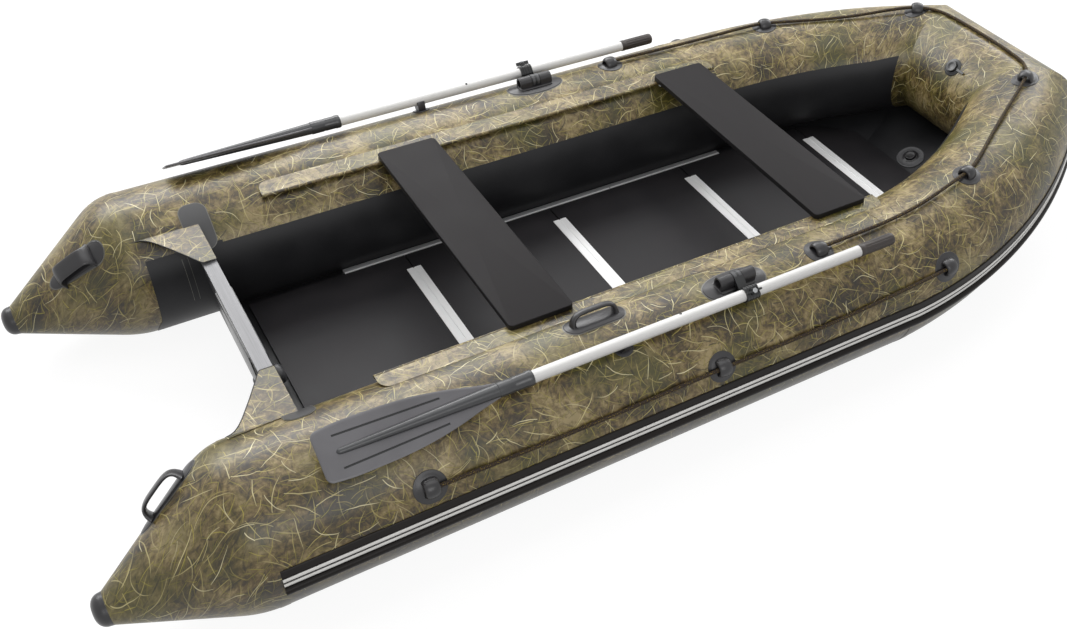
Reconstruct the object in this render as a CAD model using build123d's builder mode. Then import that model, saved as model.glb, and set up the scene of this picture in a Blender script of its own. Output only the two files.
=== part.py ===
"""Inflatable boat with rigid floor, two sliding seats and a pair of stowed oars.

The frame has +X towards the bow, +Y to port and +Z up.  Its origin is the middle of the
boat's overall length and beam, on the ground under the side tubes.
Every port piece is modelled once and mirrored to starboard.
"""

import os
from math import atan2, cos, degrees, hypot, radians, sin, sqrt, tan

from build123d import *

# ---------------------------------------------------------------- driving dimensions (mm)
overall_length = 3594.0     # stern caps to the bow's rub rail
beam = 1650.0               # over the side tubes
tube_radius = 225.0

# bow: each side tube turns in, rises and thins down to a straight cross tube
bow_turn = 40.5             # plan turn of the bow quarter, degrees
bow_corner_offset = 248.0   # half length of the cross tube's axis
bow_tube_radius = 198.0
bow_rise = 130.0            # lift of the axis from the side tube to the cross tube
bow_rise_power = 1.36
bow_fractions = (0.0, 0.16, 0.32, 0.48, 0.64, 0.8)    # where the quarter's cloth panels meet

# stern cones
cone_length = 379.0
cone_tip_radius = 43.5
cone_seams = (0.0, 0.3, 0.65, 1.0)    # where the cone's cloth bands meet
cone_drop = 85.0            # how far the axis falls to the tip
cone_splay = 8.0            # how far the axis moves outboard to the tip
cap_length = 33.0
cap_bulge = 0.8             # share of the tip's radius left at two thirds of the cap

# bottom and floor
floor_height = 90.0
floor_thickness = 12.0
floor_front_from_bow = 499.0
floor_edge_depth = 0.6      # how far the front panel reaches under the bow quarter, in radii
keel_depth = 74.0           # floor underside down to the keel line
keel_lift_at_floor_front = 30.0
keel_lift_at_bow = 163.0
chine_angle = 34.7          # where the bottom meets the tube, inboard of straight down
chine_turn = 20.0           # how far that place moves outboard round the bow quarter
chine_depth = 0.935         # depth of the meeting in the tube, in radii from its axis
root_depth = 0.78
bottom_least = 4.0          # bottom's least thickness under the floor's edge
bottom_shares = (0.25, 0.5, 0.75, 1.0)    # sections from the bow quarter's root to the floor's front
bottom_wall = 6.0           # flat under the floor beyond the floor's edge
profile_width = 50.0        # aluminium joints between the floor panels
profile_flange = 2.5
profile_web = 4.0
profile_half_length = 312.0
profile_count = 4
first_profile_from_transom = 630.0
last_profile_from_front = 200.0
stringer_width = 24.0
stringer_lap = 6.0          # how far a stringer grips the panels' edge
stringer_clearance = 4.3    # stringer to tube
stringer_start_from_stern = 1005.0
stringer_joint_from_stern = 2024.0
stringer_end_from_bow = 1069.0
panel_gap = 0.3

# transom
transom_from_stern = 587.0
transom_thickness = 35.0
transom_height = 392.0
transom_rake = 5.0          # degrees, top leaning aft
transom_foot_inset = 0.533  # foot's corner, in tube radii from the tube's axis
transom_foot_rise = 8.0     # foot above the keel line
cap_wall = 2.5
cap_skirt = 25.0
cap_end_clearance = 3.2
pad_thickness = 8.0
pad_width = 340.0
pad_height = 190.0
pad_corner = 14.0
drain_radius = 26.0
drain_height = 120.0
drain_length = 40.0
drain_flange = 6.0
drain_step = 6.0            # flange's edge round the bore pipe
knee_width = 184.0          # along the cap, from its end
knee_length = 187.0         # along the tube, aft of the transom's fore face
knee_thickness = 5.0
knee_lap = 74.0             # how far a knee runs onto the tube
knee_middle = 0.385         # place of the free edge's middle, as a share of the width
patch_thickness = 2.0
patch_length = 250.0
patch_aft = 178.0           # patch's aft edge behind the transom
patch_low_angle = 225.0
patch_high_angle = 140.0

# seats and their rails
seat_width = 200.0
seat_thickness = 18.0
seat_top = 452.0
seat_overhang = 23.0        # board's end beyond the rail's bead
seat_corner = 14.0
seat_edge = 3.0
rear_seat_from_stern = 1301.0
front_seat_from_bow = 1223.0
bead_inset = 137.0          # bead inboard of the tube's axis
bead_radius = 6.0           # edge rope of the seat rail
rail_landing_inset = 62.0   # where the rail's flap meets the tube, inboard of its axis
rail_flap_thickness = 6.0
slide_gap = 0.4
rail_start_from_stern = 815.0
rail_end_from_bow = 1077.0
runner_wall = 3.0
runner_flange = 12.0
runner_grip = 5.0           # how far a runner's lip passes the bead's middle
runner_inset = 10.0         # runner's end inside the board's edge

# rowlocks
oarlock_from_bow = 1730.0
oarlock_base_length = 207.0
oarlock_base_width = 104.0
oarlock_base_height = 4.0
oarlock_base_edge = 2.5
lug_radius = 20.0
lug_length = 45.0
lug_bore = 14.0
lug_lift = 22.0             # lug axis above the tube
lug_angle = 83.0            # round the tube, from outboard up
yoke_width = 30.0
yoke_gap = 0.5
plate_thickness = 8.0
pin_lean = 40.0             # rowlock pin, degrees outboard of upright
pin_radius = 5.0
pin_clearance = 0.1
knob_radius = 10.0
knob_height = 8.0
wing_length = 18.0
wing_width = 6.0
wing_height = 12.0

# oars
shaft_radius = 17.5
shaft_lap = 60.0            # how far the shaft enters the blade's socket
oar_axis_offset = 103.0     # outboard of the tube axis
oar_axis_height = 241.0     # above the tube axis
collar_wall = 4.2
collar_length = 44.0
collar_corner = 12.0
collar_groove = 1.6
collar_groove_width = 4.0
oar_forward = 527.0         # rowlock pin to the end of the grip
oar_aft = 1264.0            # rowlock pin to the tip of the blade
grip_length = 130.0
grip_wall = 1.5
grip_rings = 5
grip_groove = 1.2
blade_length = 574.0
blade_tip_half_width = 62.0
blade_half_width = 87.0
blade_slope = 34.0          # stowed blade, degrees outboard down
blade_thickness = 7.0
blade_neck_half_width = 17.0
slot_length = 280.0
slot_width = 5.0
slot_offset = 41.0
spine_tip_radius = 5.0
socket_wall = 3.0
socket_length = 100.0
clip_aft_of_oarlock = 408.0
clip_foot_radius = 30.0
clip_length = 26.0
clip_width = 32.0
clip_drop = 8.0
clip_corner = 4.0

# rub rail
rail_low_angle = -9.0
rail_high_angle = 12.5
rail_thickness = 4.0
bulge_angle = -5.0
bulge_half_angle = 3.0
bulge_radius = 11.0
rail_sink = 1.0             # rail's underside before it is cut to the tube

# handles
handle_length = 170.0
handle_base_width = 62.0
handle_base_height = 4.0
handle_rise = 36.0
handle_bar_radius = 8.0
handle_foot_inset = 30.0
handle_bend = 18.0
carry_handle_from_stern = 1419.0
carry_handle_angle = 98.0
stern_handle_fraction = 0.43    # place along the cone, from its root
stern_handle_angle = 123.0

# rope and its eyelets
rope_radius = 4.0
rope_lift = 12.0            # rope axis above the tube
eyelet_radius = 34.0
eyelet_disc = 3.0
eyelet_height = 23.0
eyelet_arch_width = 34.0
eyelet_arch_length = 30.0
side_line_angle = 27.0
aft_eyelet_from_stern = 818.0
middle_eyelet_aft_of_oarlock = 148.0
top_eyelet_ahead_of_oarlock = 308.0
top_line_angle = 83.0

# air valves
valve_flange_radius = 33.0
valve_flange = 4.0
valve_cap_radius = 20.0
valve_cap = 10.0
bow_valve_angle = 140.0     # round the cross tube, from ahead up
bow_valve_offset = -30.0
keel_valve_ahead_of_floor = 62.0

os.makedirs("parts", exist_ok=True)

# ---------------------------------------------------------------- worked out
stern_x = -overall_length / 2
bow_x = overall_length / 2 - rail_thickness - bulge_radius
axis_offset = beam / 2 - tube_radius
arc_radius = (axis_offset - bow_corner_offset) / (1 - cos(radians(bow_turn)))
corner_x = bow_x - bow_tube_radius
curve_x = corner_x - arc_radius * sin(radians(bow_turn))
cone_x = stern_x + cap_length + cone_length
bow_axis_z = tube_radius + bow_rise
transom_x = stern_x + transom_from_stern
rear_seat_x = stern_x + rear_seat_from_stern
front_seat_x = bow_x - front_seat_from_bow
oarlock_x = bow_x - oarlock_from_bow
clip_x = oarlock_x - clip_aft_of_oarlock
floor_front_x = bow_x - floor_front_from_bow
over = 1.0                  # cutters run past what they cut by this much


def save(part, name):
    """Label a finished part and write its STEP file."""
    part.label = name
    export_step(part, f"parts/{name}.step")


def save_pair(port_part, name):
    """Write the port piece and its starboard mirror image."""
    save(port_part, f"port_{name}")
    with BuildPart() as starboard:
        mirror(port_part, about=Plane.XZ)
    save(starboard.part, f"starboard_{name}")


def save_both(port_part, name):
    """Write the port piece and its mirror image together as one node."""
    with BuildPart() as both:
        add(port_part)
        mirror(port_part, about=Plane.XZ)
    save(both.part, name)


def across(x, y=0.0, z=0.0):
    """Upright plane across the boat at a place: its x to port, its y up, its normal ahead."""
    return Plane((x, y, z), x_dir=(0, 1, 0), z_dir=(1, 0, 0))


def tube_inner_y(z):
    """Half width between the side tubes at a height."""
    return axis_offset - sqrt(tube_radius**2 - (tube_radius - z) ** 2)


def on_tube(x, angle, lift=0.0):
    """Plane on the straight port tube: x forward, z outward, angle from outboard up."""
    out = Vector(0, cos(radians(angle)), sin(radians(angle)))
    centre = Vector(x, axis_offset, tube_radius)
    return Plane(centre + out * (tube_radius + lift), x_dir=(1, 0, 0), z_dir=out)


def bow_section(fraction):
    """Port bow quarter's section: its plane (x outboard, y up) and its radius."""
    turn = radians(bow_turn) * fraction
    centre = (
        curve_x + arc_radius * sin(turn),
        axis_offset - arc_radius * (1 - cos(turn)),
        tube_radius + bow_rise * fraction**bow_rise_power,
    )
    radius = tube_radius + (bow_tube_radius - tube_radius) * fraction
    return Plane(centre, x_dir=(sin(turn), cos(turn), 0), z_dir=(cos(turn), -sin(turn), 0)), radius


def on_bow(fraction, angle, lift=0.0):
    """Plane on the port bow quarter: x along the tube, z outward."""
    section, radius = bow_section(fraction)
    out = section.x_dir * cos(radians(angle)) + section.y_dir * sin(radians(angle))
    return Plane(section.origin + out * (radius + lift), x_dir=section.z_dir, z_dir=out)


def fraction_at(x):
    """Share of the bow quarter's turn at which its axis reaches x."""
    sine = min(1.0, max(0.0, (x - curve_x) / arc_radius))
    return min(1.0, degrees(atan2(sine, sqrt(1 - sine**2))) / bow_turn)


def half_width(x, depth):
    """Half width to a line that lies a number of radii inboard of the tubes' axis."""
    section, radius = bow_section(fraction_at(x))
    return section.origin.Y - depth * radius


def band_section(plane, inner, outer, start, end):
    """A curved strip on a plane, between two radii and two angles."""
    with BuildSketch(plane) as band:
        with BuildLine():
            low = CenterArc((0, 0), inner, start, end - start)
            high = CenterArc((0, 0), outer, start, end - start)
            Line(low @ 0, high @ 0)
            Line(low @ 1, high @ 1)
        make_face()
    return band.sketch


# ---------------------------------------------------------------- tubes
with BuildPart() as side_tube:
    with BuildSketch(across(cone_x, axis_offset, tube_radius)):
        Circle(tube_radius)
    extrude(amount=curve_x - cone_x)
save_pair(side_tube.part, "side_tube")

mitre_turn = (90 - bow_turn) / 2
mitre_heading = radians(bow_turn + mitre_turn)
mitre_plane = Plane(
    (corner_x, bow_corner_offset, bow_axis_z),
    x_dir=(sin(mitre_heading), cos(mitre_heading), 0),
    z_dir=(cos(mitre_heading), -sin(mitre_heading), 0),
)
other_mitre_plane = Plane(
    (corner_x, -bow_corner_offset, bow_axis_z),
    x_dir=(sin(mitre_heading), -cos(mitre_heading), 0),
    z_dir=(cos(mitre_heading), sin(mitre_heading), 0),
)
mitre_stretch = 1 / cos(radians(mitre_turn))
with BuildPart() as bow_quarter:
    for fraction in bow_fractions:
        section_plane, section_radius = bow_section(fraction)
        with BuildSketch(section_plane):
            Circle(section_radius)
    with BuildSketch(mitre_plane):
        Ellipse(bow_tube_radius * mitre_stretch, bow_tube_radius)
    loft(ruled=True)
save_pair(bow_quarter.part, "bow_quarter_tube")

with BuildPart() as bow_tube:
    with BuildSketch(Plane.XZ.offset(-axis_offset)):
        with Locations((corner_x, bow_axis_z)):
            Circle(bow_tube_radius)
    extrude(amount=2 * axis_offset)
    split(bisect_by=mitre_plane, keep=Keep.TOP)
    split(bisect_by=other_mitre_plane, keep=Keep.TOP)
save(bow_tube.part, "bow_tube")

cone_tip = Vector(stern_x + cap_length, axis_offset + cone_splay, tube_radius - cone_drop)
cone_root = Vector(cone_x, axis_offset, tube_radius)
with BuildPart() as stern_cone:
    for share in cone_seams:
        cone_middle = cone_root + (cone_tip - cone_root) * share
        with BuildSketch(across(cone_middle.X, cone_middle.Y, cone_middle.Z)):
            Circle(tube_radius + (cone_tip_radius - tube_radius) * share)
    loft(ruled=True)
save_pair(stern_cone.part, "stern_cone")

with BuildPart() as stern_cap:
    with BuildSketch():
        with BuildLine():
            Line((0, 0), (cone_tip_radius, 0))
            Spline(
                (cone_tip_radius, 0), (cap_bulge * cone_tip_radius, 0.66 * cap_length), (0, cap_length),
                tangents=((-0.2, 1), (-1, 0)),
            )
            Line((0, cap_length), (0, 0))
        make_face()
    revolve(axis=Axis.Y)
cap_place = Plane(cone_tip, x_dir=(0, 1, 0), z_dir=(0, 0, 1))
save_both(cap_place.location * stern_cap.part, "stern_caps")
port_tubes = [side_tube.part, bow_quarter.part, stern_cone.part]
tubes = port_tubes + [mirror(tube, about=Plane.XZ) for tube in port_tubes] + [bow_tube.part]

# ---------------------------------------------------------------- transom
rake = radians(transom_rake)
transom_foot_x = transom_x + transom_height * tan(rake)
transom_plane = Plane((transom_foot_x, 0, 0), x_dir=(0, 1, 0), z_dir=(cos(rake), 0, sin(rake)))
bottom_top_z = floor_height - floor_thickness - profile_flange
keel_z = bottom_top_z - keel_depth
chine_z = tube_radius * (1 - chine_depth * cos(radians(chine_angle)))
drain_bore = drain_radius - drain_step
with BuildPart() as transom_board:
    with BuildSketch(transom_plane):
        with BuildLine():
            foot_y = axis_offset - transom_foot_inset * tube_radius
            foot_z = keel_z + transom_foot_rise
            Polyline(
                (0, foot_z), (foot_y, chine_z), (foot_y, transom_height),
                (-foot_y, transom_height), (-foot_y, chine_z), (0, foot_z),
            )
        make_face()
        with Locations((0, drain_height)):
            Circle(drain_bore, mode=Mode.SUBTRACT)
    extrude(amount=transom_thickness / 2, both=True)
    add(tubes, mode=Mode.SUBTRACT)
save(transom_board.part, "transom_board")

cap_half_length = tube_inner_y(transom_height) - cap_end_clearance
with BuildPart() as transom_cap:
    with BuildSketch(transom_plane):
        with Locations((0, transom_height - cap_skirt / 2 + cap_wall / 2)):
            Rectangle(2 * cap_half_length, cap_skirt + cap_wall)
    extrude(amount=transom_thickness / 2 + cap_wall, both=True)
    add(transom_board.part, mode=Mode.SUBTRACT)
    add(tubes, mode=Mode.SUBTRACT)
save(transom_cap.part, "transom_cap_profile")

pad_middle = transom_height - cap_skirt - pad_height / 2 - cap_wall
for pad_name, pad_side in (("outer", -1), ("inner", 1)):
    with BuildPart() as motor_pad:
        with BuildSketch(transom_plane.offset(pad_side * transom_thickness / 2)):
            with Locations((0, pad_middle)):
                RectangleRounded(pad_width, pad_height, pad_corner)
        extrude(amount=pad_side * pad_thickness)
    save(motor_pad.part, f"{pad_name}_motor_pad")

with BuildPart() as drain_valve:
    with BuildSketch(transom_plane.offset(-transom_thickness / 2)):
        with Locations((0, drain_height)):
            Circle(drain_radius)
    extrude(amount=-drain_flange)
    with BuildSketch(transom_plane.offset(-transom_thickness / 2 - drain_flange)):
        with Locations((0, drain_height)):
            Circle(drain_bore)
    extrude(amount=transom_thickness + drain_flange + drain_length)
    for collar_start in (transom_thickness / 2, transom_thickness / 2 + drain_length - 2 * drain_flange):
        with BuildSketch(transom_plane.offset(collar_start)):
            with Locations((0, drain_height)):
                Circle(drain_radius)
        extrude(amount=drain_flange)
save(drain_valve.part, "drain_valve")

knee_root_y = cap_half_length + cap_wall
with BuildPart() as knee:
    with BuildSketch(Plane.XY.offset(transom_height + cap_wall + over)):
        with BuildLine():
            fore_x = transom_x + transom_thickness / 2 + cap_wall
            aft_x = transom_x - transom_thickness / 2 - cap_wall
            knee_tip_y = cap_half_length - knee_width
            Polyline(
                (aft_x, knee_tip_y), (fore_x, knee_tip_y), (fore_x, knee_root_y + knee_lap),
                (fore_x - knee_length, knee_root_y + knee_lap), (fore_x - knee_length, knee_root_y + knee_lap / 2),
            )
            ThreePointArc(
                (fore_x - knee_length, knee_root_y + knee_lap / 2),
                (aft_x - knee_length / 3, cap_half_length - knee_width * knee_middle),
                (aft_x, knee_tip_y),
            )
        make_face()
    extrude(amount=knee_thickness)
    add(tubes, mode=Mode.SUBTRACT)
save_pair(knee.part, "transom_knee")

patch_start = transom_x - patch_aft
with BuildPart() as transom_patch:
    patch_plane = across(patch_start, axis_offset, tube_radius)
    patch_radius = tube_radius + patch_thickness
    add(band_section(patch_plane, tube_radius, patch_radius, patch_high_angle, patch_low_angle))
    extrude(amount=patch_length, dir=(1, 0, 0))
    add(transom_board.part, mode=Mode.SUBTRACT)
    add(transom_cap.part, mode=Mode.SUBTRACT)
    add(stern_cone.part, mode=Mode.SUBTRACT)
save_pair(transom_patch.part, "transom_patch")

# ---------------------------------------------------------------- bottom and floor
stringer_outer_y = tube_inner_y(floor_height + profile_flange) - stringer_clearance
stringer_inner_y = stringer_outer_y - stringer_width
floor_half_width = stringer_inner_y + stringer_lap
floor_aft_x = transom_foot_x - floor_height * tan(rake) + transom_thickness / 2 + drain_length + 2 * drain_flange
bottom_tip_x = corner_x - 0.15 * bow_tube_radius
bottom_tip_top = bow_axis_z - 0.86 * bow_tube_radius
late_bow_fraction = 0.85


def bottom_outline(x, keel_lift, top_z):
    """The bottom's section at a place: a vee, a turn under the floor's edge, roots in the tubes."""
    fraction = fraction_at(x)
    section, radius = bow_section(fraction)
    angle = radians(chine_angle - chine_turn * fraction)
    inward = Vector(0, -sin(angle), -cos(angle)) * radius
    chine = section.origin + inward * chine_depth
    root = section.origin + inward * root_depth
    keel_up = keel_z + keel_lift
    flat_y = half_width(x, floor_edge_depth) + bottom_wall
    straight_up = keel_up + (chine.Z - keel_up) * flat_y / chine.Y
    turn_up = min(top_z - bottom_least, straight_up - over)
    port = [(flat_y, turn_up), (chine.Y, chine.Z), (root.Y, root.Z), (flat_y, top_z)]
    return [(0, keel_up)] + port + [(-y, z) for y, z in reversed(port)] + [(0, keel_up)]


late_bow_x = bow_section(late_bow_fraction)[0].origin.X
late_share = (late_bow_x - floor_front_x) / (bottom_tip_x - floor_front_x)
late_keel = keel_lift_at_floor_front + (keel_lift_at_bow - keel_lift_at_floor_front) * late_share
late_top = bottom_top_z + (bottom_tip_top - bottom_top_z) * late_share
bottom_sections = [(transom_foot_x - 2 * transom_thickness, 0, bottom_top_z), (curve_x, 0, bottom_top_z)]
for share in bottom_shares:
    section_x = curve_x + (floor_front_x - curve_x) * share
    bottom_sections.append((section_x, keel_lift_at_floor_front * share**2, bottom_top_z))
bottom_sections += [(late_bow_x, late_keel, late_top), (bottom_tip_x, keel_lift_at_bow, bottom_tip_top)]
with BuildPart() as bottom:
    for section_x, keel_lift, top_z in bottom_sections:
        with BuildSketch(across(section_x)):
            with BuildLine():
                Polyline(*bottom_outline(section_x, keel_lift, top_z))
            make_face()
    loft(ruled=True)
    add(tubes, mode=Mode.SUBTRACT)
    split(bisect_by=transom_plane.offset(transom_thickness / 2), keep=Keep.TOP)
    add(transom_patch.part, mode=Mode.SUBTRACT)
    add(mirror(transom_patch.part, about=Plane.XZ), mode=Mode.SUBTRACT)
save(bottom.part, "bottom_skin")

first_profile_x = transom_x + first_profile_from_transom
last_profile_x = floor_front_x - last_profile_from_front
profile_step = (last_profile_x - first_profile_x) / (profile_count - 1)
profile_xs = [first_profile_x + profile_step * index for index in range(profile_count)]
panel_low = floor_height - floor_thickness
with BuildPart() as floor_profiles:
    with BuildSketch(Plane.XZ.offset(-profile_half_length)):
        for profile_x in profile_xs:
            with Locations((profile_x, floor_height + profile_flange / 2)):
                Rectangle(profile_width, profile_flange)
            with Locations((profile_x, panel_low + floor_thickness / 2)):
                Rectangle(profile_web, floor_thickness)
            with Locations((profile_x, panel_low - profile_flange / 2)):
                Rectangle(profile_width, profile_flange)
    extrude(amount=2 * profile_half_length)
save(floor_profiles.part, "floor_profiles")


def floor_edge(x):
    """Half width of the floor: straight along the sides, then in under the bow quarters."""
    return min(floor_half_width, half_width(x, floor_edge_depth))


panel_edges = [floor_aft_x] + profile_xs + [floor_front_x]
for index in range(profile_count + 1):
    low_x = panel_edges[index] + (profile_web / 2 + panel_gap if index else 0)
    high_x = panel_edges[index + 1] - (profile_web / 2 + panel_gap if index < profile_count else 0)
    edge_xs = [low_x + (high_x - low_x) * step / 4 for step in range(5)]
    port_edge = [(x, floor_edge(x)) for x in edge_xs]
    starboard_edge = [(x, -y) for x, y in reversed(port_edge)]
    with BuildPart() as floor_panel:
        with BuildSketch(Plane.XY.offset(panel_low)):
            with BuildLine():
                Polyline(*port_edge, *starboard_edge, close=True)
            make_face()
        extrude(amount=floor_thickness)
        add(tubes, mode=Mode.SUBTRACT)
    save(floor_panel.part, f"floor_panel_{index + 1}")

stringer_runs = [
    (stern_x + stringer_start_from_stern, stern_x + stringer_joint_from_stern - panel_gap),
    (stern_x + stringer_joint_from_stern + panel_gap, bow_x - stringer_end_from_bow),
]
with BuildPart() as stringer:
    for run_start, run_end in stringer_runs:
        with BuildSketch(across(run_start)):
            with BuildLine():
                top_z = floor_height + profile_flange
                low_z = panel_low - profile_flange
                wall_y = floor_half_width + panel_gap
                Polyline(
                    (stringer_inner_y, floor_height), (stringer_inner_y, top_z), (stringer_outer_y, top_z),
                    (stringer_outer_y, low_z), (stringer_inner_y, low_z), (stringer_inner_y, panel_low),
                    (wall_y, panel_low), (wall_y, floor_height), (stringer_inner_y, floor_height),
                )
            make_face()
        extrude(amount=run_end - run_start)
    add(tubes, mode=Mode.SUBTRACT)
save_pair(stringer.part, "floor_stringer")


# ---------------------------------------------------------------- rub rail
def rail_section(plane, radius, stretch=1.0):
    """The rub rail's profile on a plane: a flat strip with a round bulge low on it."""
    def spot(angle, lift):
        return (
            (radius + lift) * cos(radians(angle)) * stretch,
            (radius + lift) * sin(radians(angle)),
        )
    bulge_low = bulge_angle - bulge_half_angle
    bulge_high = bulge_angle + bulge_half_angle
    with BuildSketch(plane) as rail:
        with BuildLine():
            ThreePointArc(spot(rail_low_angle, -rail_sink), spot(0, -rail_sink), spot(rail_high_angle, -rail_sink))
            Line(spot(rail_high_angle, -rail_sink), spot(rail_high_angle, rail_thickness))
            Line(spot(rail_high_angle, rail_thickness), spot(bulge_high, rail_thickness))
            ThreePointArc(
                spot(bulge_high, rail_thickness),
                spot(bulge_angle, rail_thickness + bulge_radius),
                spot(bulge_low, rail_thickness),
            )
            Line(spot(bulge_low, rail_thickness), spot(rail_low_angle, rail_thickness))
            Line(spot(rail_low_angle, rail_thickness), spot(rail_low_angle, -rail_sink))
        make_face()
    return rail.sketch


with BuildPart() as rub_rail:
    add(rail_section(across(cone_x, axis_offset, tube_radius), tube_radius))
    extrude(amount=curve_x - cone_x, dir=(1, 0, 0))
    for fraction in bow_fractions:
        section_plane, section_radius = bow_section(fraction)
        add(rail_section(section_plane, section_radius))
    add(rail_section(mitre_plane, bow_tube_radius, mitre_stretch))
    loft(ruled=True)
    add(port_tubes, mode=Mode.SUBTRACT)
save_pair(rub_rail.part, "rub_rail")

with BuildPart() as bow_rail:
    bow_rail_start = Plane((corner_x, axis_offset, bow_axis_z), x_dir=(1, 0, 0), z_dir=(0, -1, 0))
    add(rail_section(bow_rail_start, bow_tube_radius))
    extrude(amount=2 * axis_offset, dir=(0, -1, 0))
    split(bisect_by=mitre_plane, keep=Keep.TOP)
    split(bisect_by=other_mitre_plane, keep=Keep.TOP)
    add(bow_tube.part, mode=Mode.SUBTRACT)
save(bow_rail.part, "bow_rub_rail")

# ---------------------------------------------------------------- seats and their rails
seat_underside = seat_top - seat_thickness
bead_y = axis_offset - bead_inset
bead_z = seat_underside - slide_gap - bead_radius
seat_length = 2 * (bead_y + seat_overhang)
rail_low_x = stern_x + rail_start_from_stern
rail_high_x = bow_x - rail_end_from_bow
landing_y = axis_offset - rail_landing_inset
landing_z = tube_radius + sqrt(tube_radius**2 - rail_landing_inset**2)
with BuildPart() as seat_rail:
    with BuildSketch(across(rail_low_x)):
        with BuildLine():
            flap_top = landing_z - rail_flap_thickness / 2
            Polyline(
                (bead_y, bead_z - rail_flap_thickness / 2), (bead_y, bead_z + rail_flap_thickness / 2),
                (landing_y, flap_top), (landing_y, landing_z - 4 * rail_flap_thickness),
                (bead_y, bead_z - rail_flap_thickness / 2),
            )
        make_face()
        with Locations((bead_y, bead_z)):
            Circle(bead_radius)
    extrude(amount=rail_high_x - rail_low_x)
    add(side_tube.part, mode=Mode.SUBTRACT)
    add(bow_quarter.part, mode=Mode.SUBTRACT)
save_pair(seat_rail.part.solids().sort_by(SortBy.VOLUME)[-1], "seat_rail")

web_y = bead_y - bead_radius - slide_gap - runner_wall
lip_z = bead_z - bead_radius - slide_gap - runner_wall
for seat_name, seat_x in (("rear", rear_seat_x), ("front", front_seat_x)):
    with BuildPart() as seat_board:
        with BuildSketch(Plane.XY.offset(seat_underside)):
            with Locations((seat_x, 0)):
                RectangleRounded(seat_width, seat_length, seat_corner)
        extrude(amount=seat_thickness)
        chamfer(seat_board.faces().sort_by(Axis.Z)[-1].edges(), seat_edge)
    save(seat_board.part, f"{seat_name}_seat_board")
    with BuildPart() as seat_runners:
        for runner_side in (1, -1):
            runner_start = Vector(seat_x - seat_width / 2 + runner_inset, 0, 0)
            runner_plane = Plane(runner_start, x_dir=(0, runner_side, 0), z_dir=(runner_side, 0, 0))
            with BuildSketch(runner_plane):
                with BuildLine():
                    inner_y = web_y - runner_flange
                    outer_y = web_y + runner_wall
                    grip_y = bead_y + runner_grip
                    flange_z = seat_underside - runner_wall
                    Polyline(
                        (inner_y, seat_underside), (outer_y, seat_underside), (outer_y, lip_z + runner_wall),
                        (grip_y, lip_z + runner_wall), (grip_y, lip_z), (web_y, lip_z), (web_y, flange_z),
                        (inner_y, flange_z), (inner_y, seat_underside),
                    )
                make_face()
            extrude(amount=runner_side * (seat_width - 2 * runner_inset))
    save(seat_runners.part, f"{seat_name}_seat_runners")

# ---------------------------------------------------------------- rowlocks
lug_plane = on_tube(oarlock_x, lug_angle, lug_lift)
lug_point = lug_plane.origin
base_sink = 6.0
lug_start = yoke_width / 2 + yoke_gap
bore_reach = lug_start + lug_length + over
with BuildPart() as oarlock_base:
    with BuildSketch(on_tube(oarlock_x, lug_angle, -base_sink)):
        Ellipse(oarlock_base_length / 2, oarlock_base_width / 2)
    extrude(amount=base_sink + oarlock_base_height)
    chamfer(oarlock_base.faces().sort_by(Axis(lug_point, lug_plane.z_dir))[-1].edges(), oarlock_base_edge)
    for lug_side in (1, -1):
        barrel_start = lug_point + Vector(lug_side * lug_start, 0, 0)
        with BuildSketch(Plane(barrel_start, x_dir=(0, 1, 0), z_dir=(lug_side, 0, 0))):
            Circle(lug_radius)
        extrude(amount=lug_length)
        with BuildSketch(on_tube(oarlock_x + lug_side * (lug_start + lug_length / 2), lug_angle, 0)):
            Rectangle(lug_length, 2 * lug_radius)
        extrude(amount=lug_lift)
    with BuildSketch(across(lug_point.X - bore_reach, lug_point.Y, lug_point.Z)):
        Circle(lug_bore)
    extrude(amount=2 * bore_reach, mode=Mode.SUBTRACT)
    with BuildSketch(across(lug_point.X - lug_start, lug_point.Y, lug_point.Z)):
        Circle(lug_radius + over)
    extrude(amount=2 * lug_start, mode=Mode.SUBTRACT)
    add(side_tube.part, mode=Mode.SUBTRACT)
save_pair(oarlock_base.part, "oarlock_base")

shaft_y = axis_offset + oar_axis_offset
shaft_z = tube_radius + oar_axis_height
collar_radius = shaft_radius + collar_wall
pin_dir = Vector(0, sin(radians(pin_lean)), cos(radians(pin_lean)))
pin_point = Vector(oarlock_x, shaft_y, shaft_z)
pin_plane = Plane(pin_point, x_dir=(1, 0, 0), z_dir=pin_dir)
lug_local = pin_plane.to_local_coords(lug_point)
plate_top = -collar_radius - panel_gap
trunnion_reach = yoke_width / 2 + 2 * lug_length / 3
with BuildPart() as yoke:
    with BuildSketch(across(lug_point.X - trunnion_reach, lug_point.Y, lug_point.Z)):
        Circle(lug_bore - pin_clearance)
    extrude(amount=2 * trunnion_reach)
    with BuildSketch(across(lug_point.X - yoke_width / 2, lug_point.Y, lug_point.Z)):
        Circle(lug_radius)
    extrude(amount=yoke_width)
    with BuildSketch(pin_plane.offset(plate_top - plate_thickness)):
        Circle(yoke_width / 2)
        with Locations((0, lug_local.Y / 2)):
            Rectangle(yoke_width, abs(lug_local.Y))
    extrude(amount=plate_thickness)
    with BuildSketch(pin_plane.offset(plate_top)):
        Circle(pin_radius)
    extrude(amount=-plate_top + collar_radius + wing_height)
save_pair(yoke.part, "oarlock_yoke")

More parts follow.
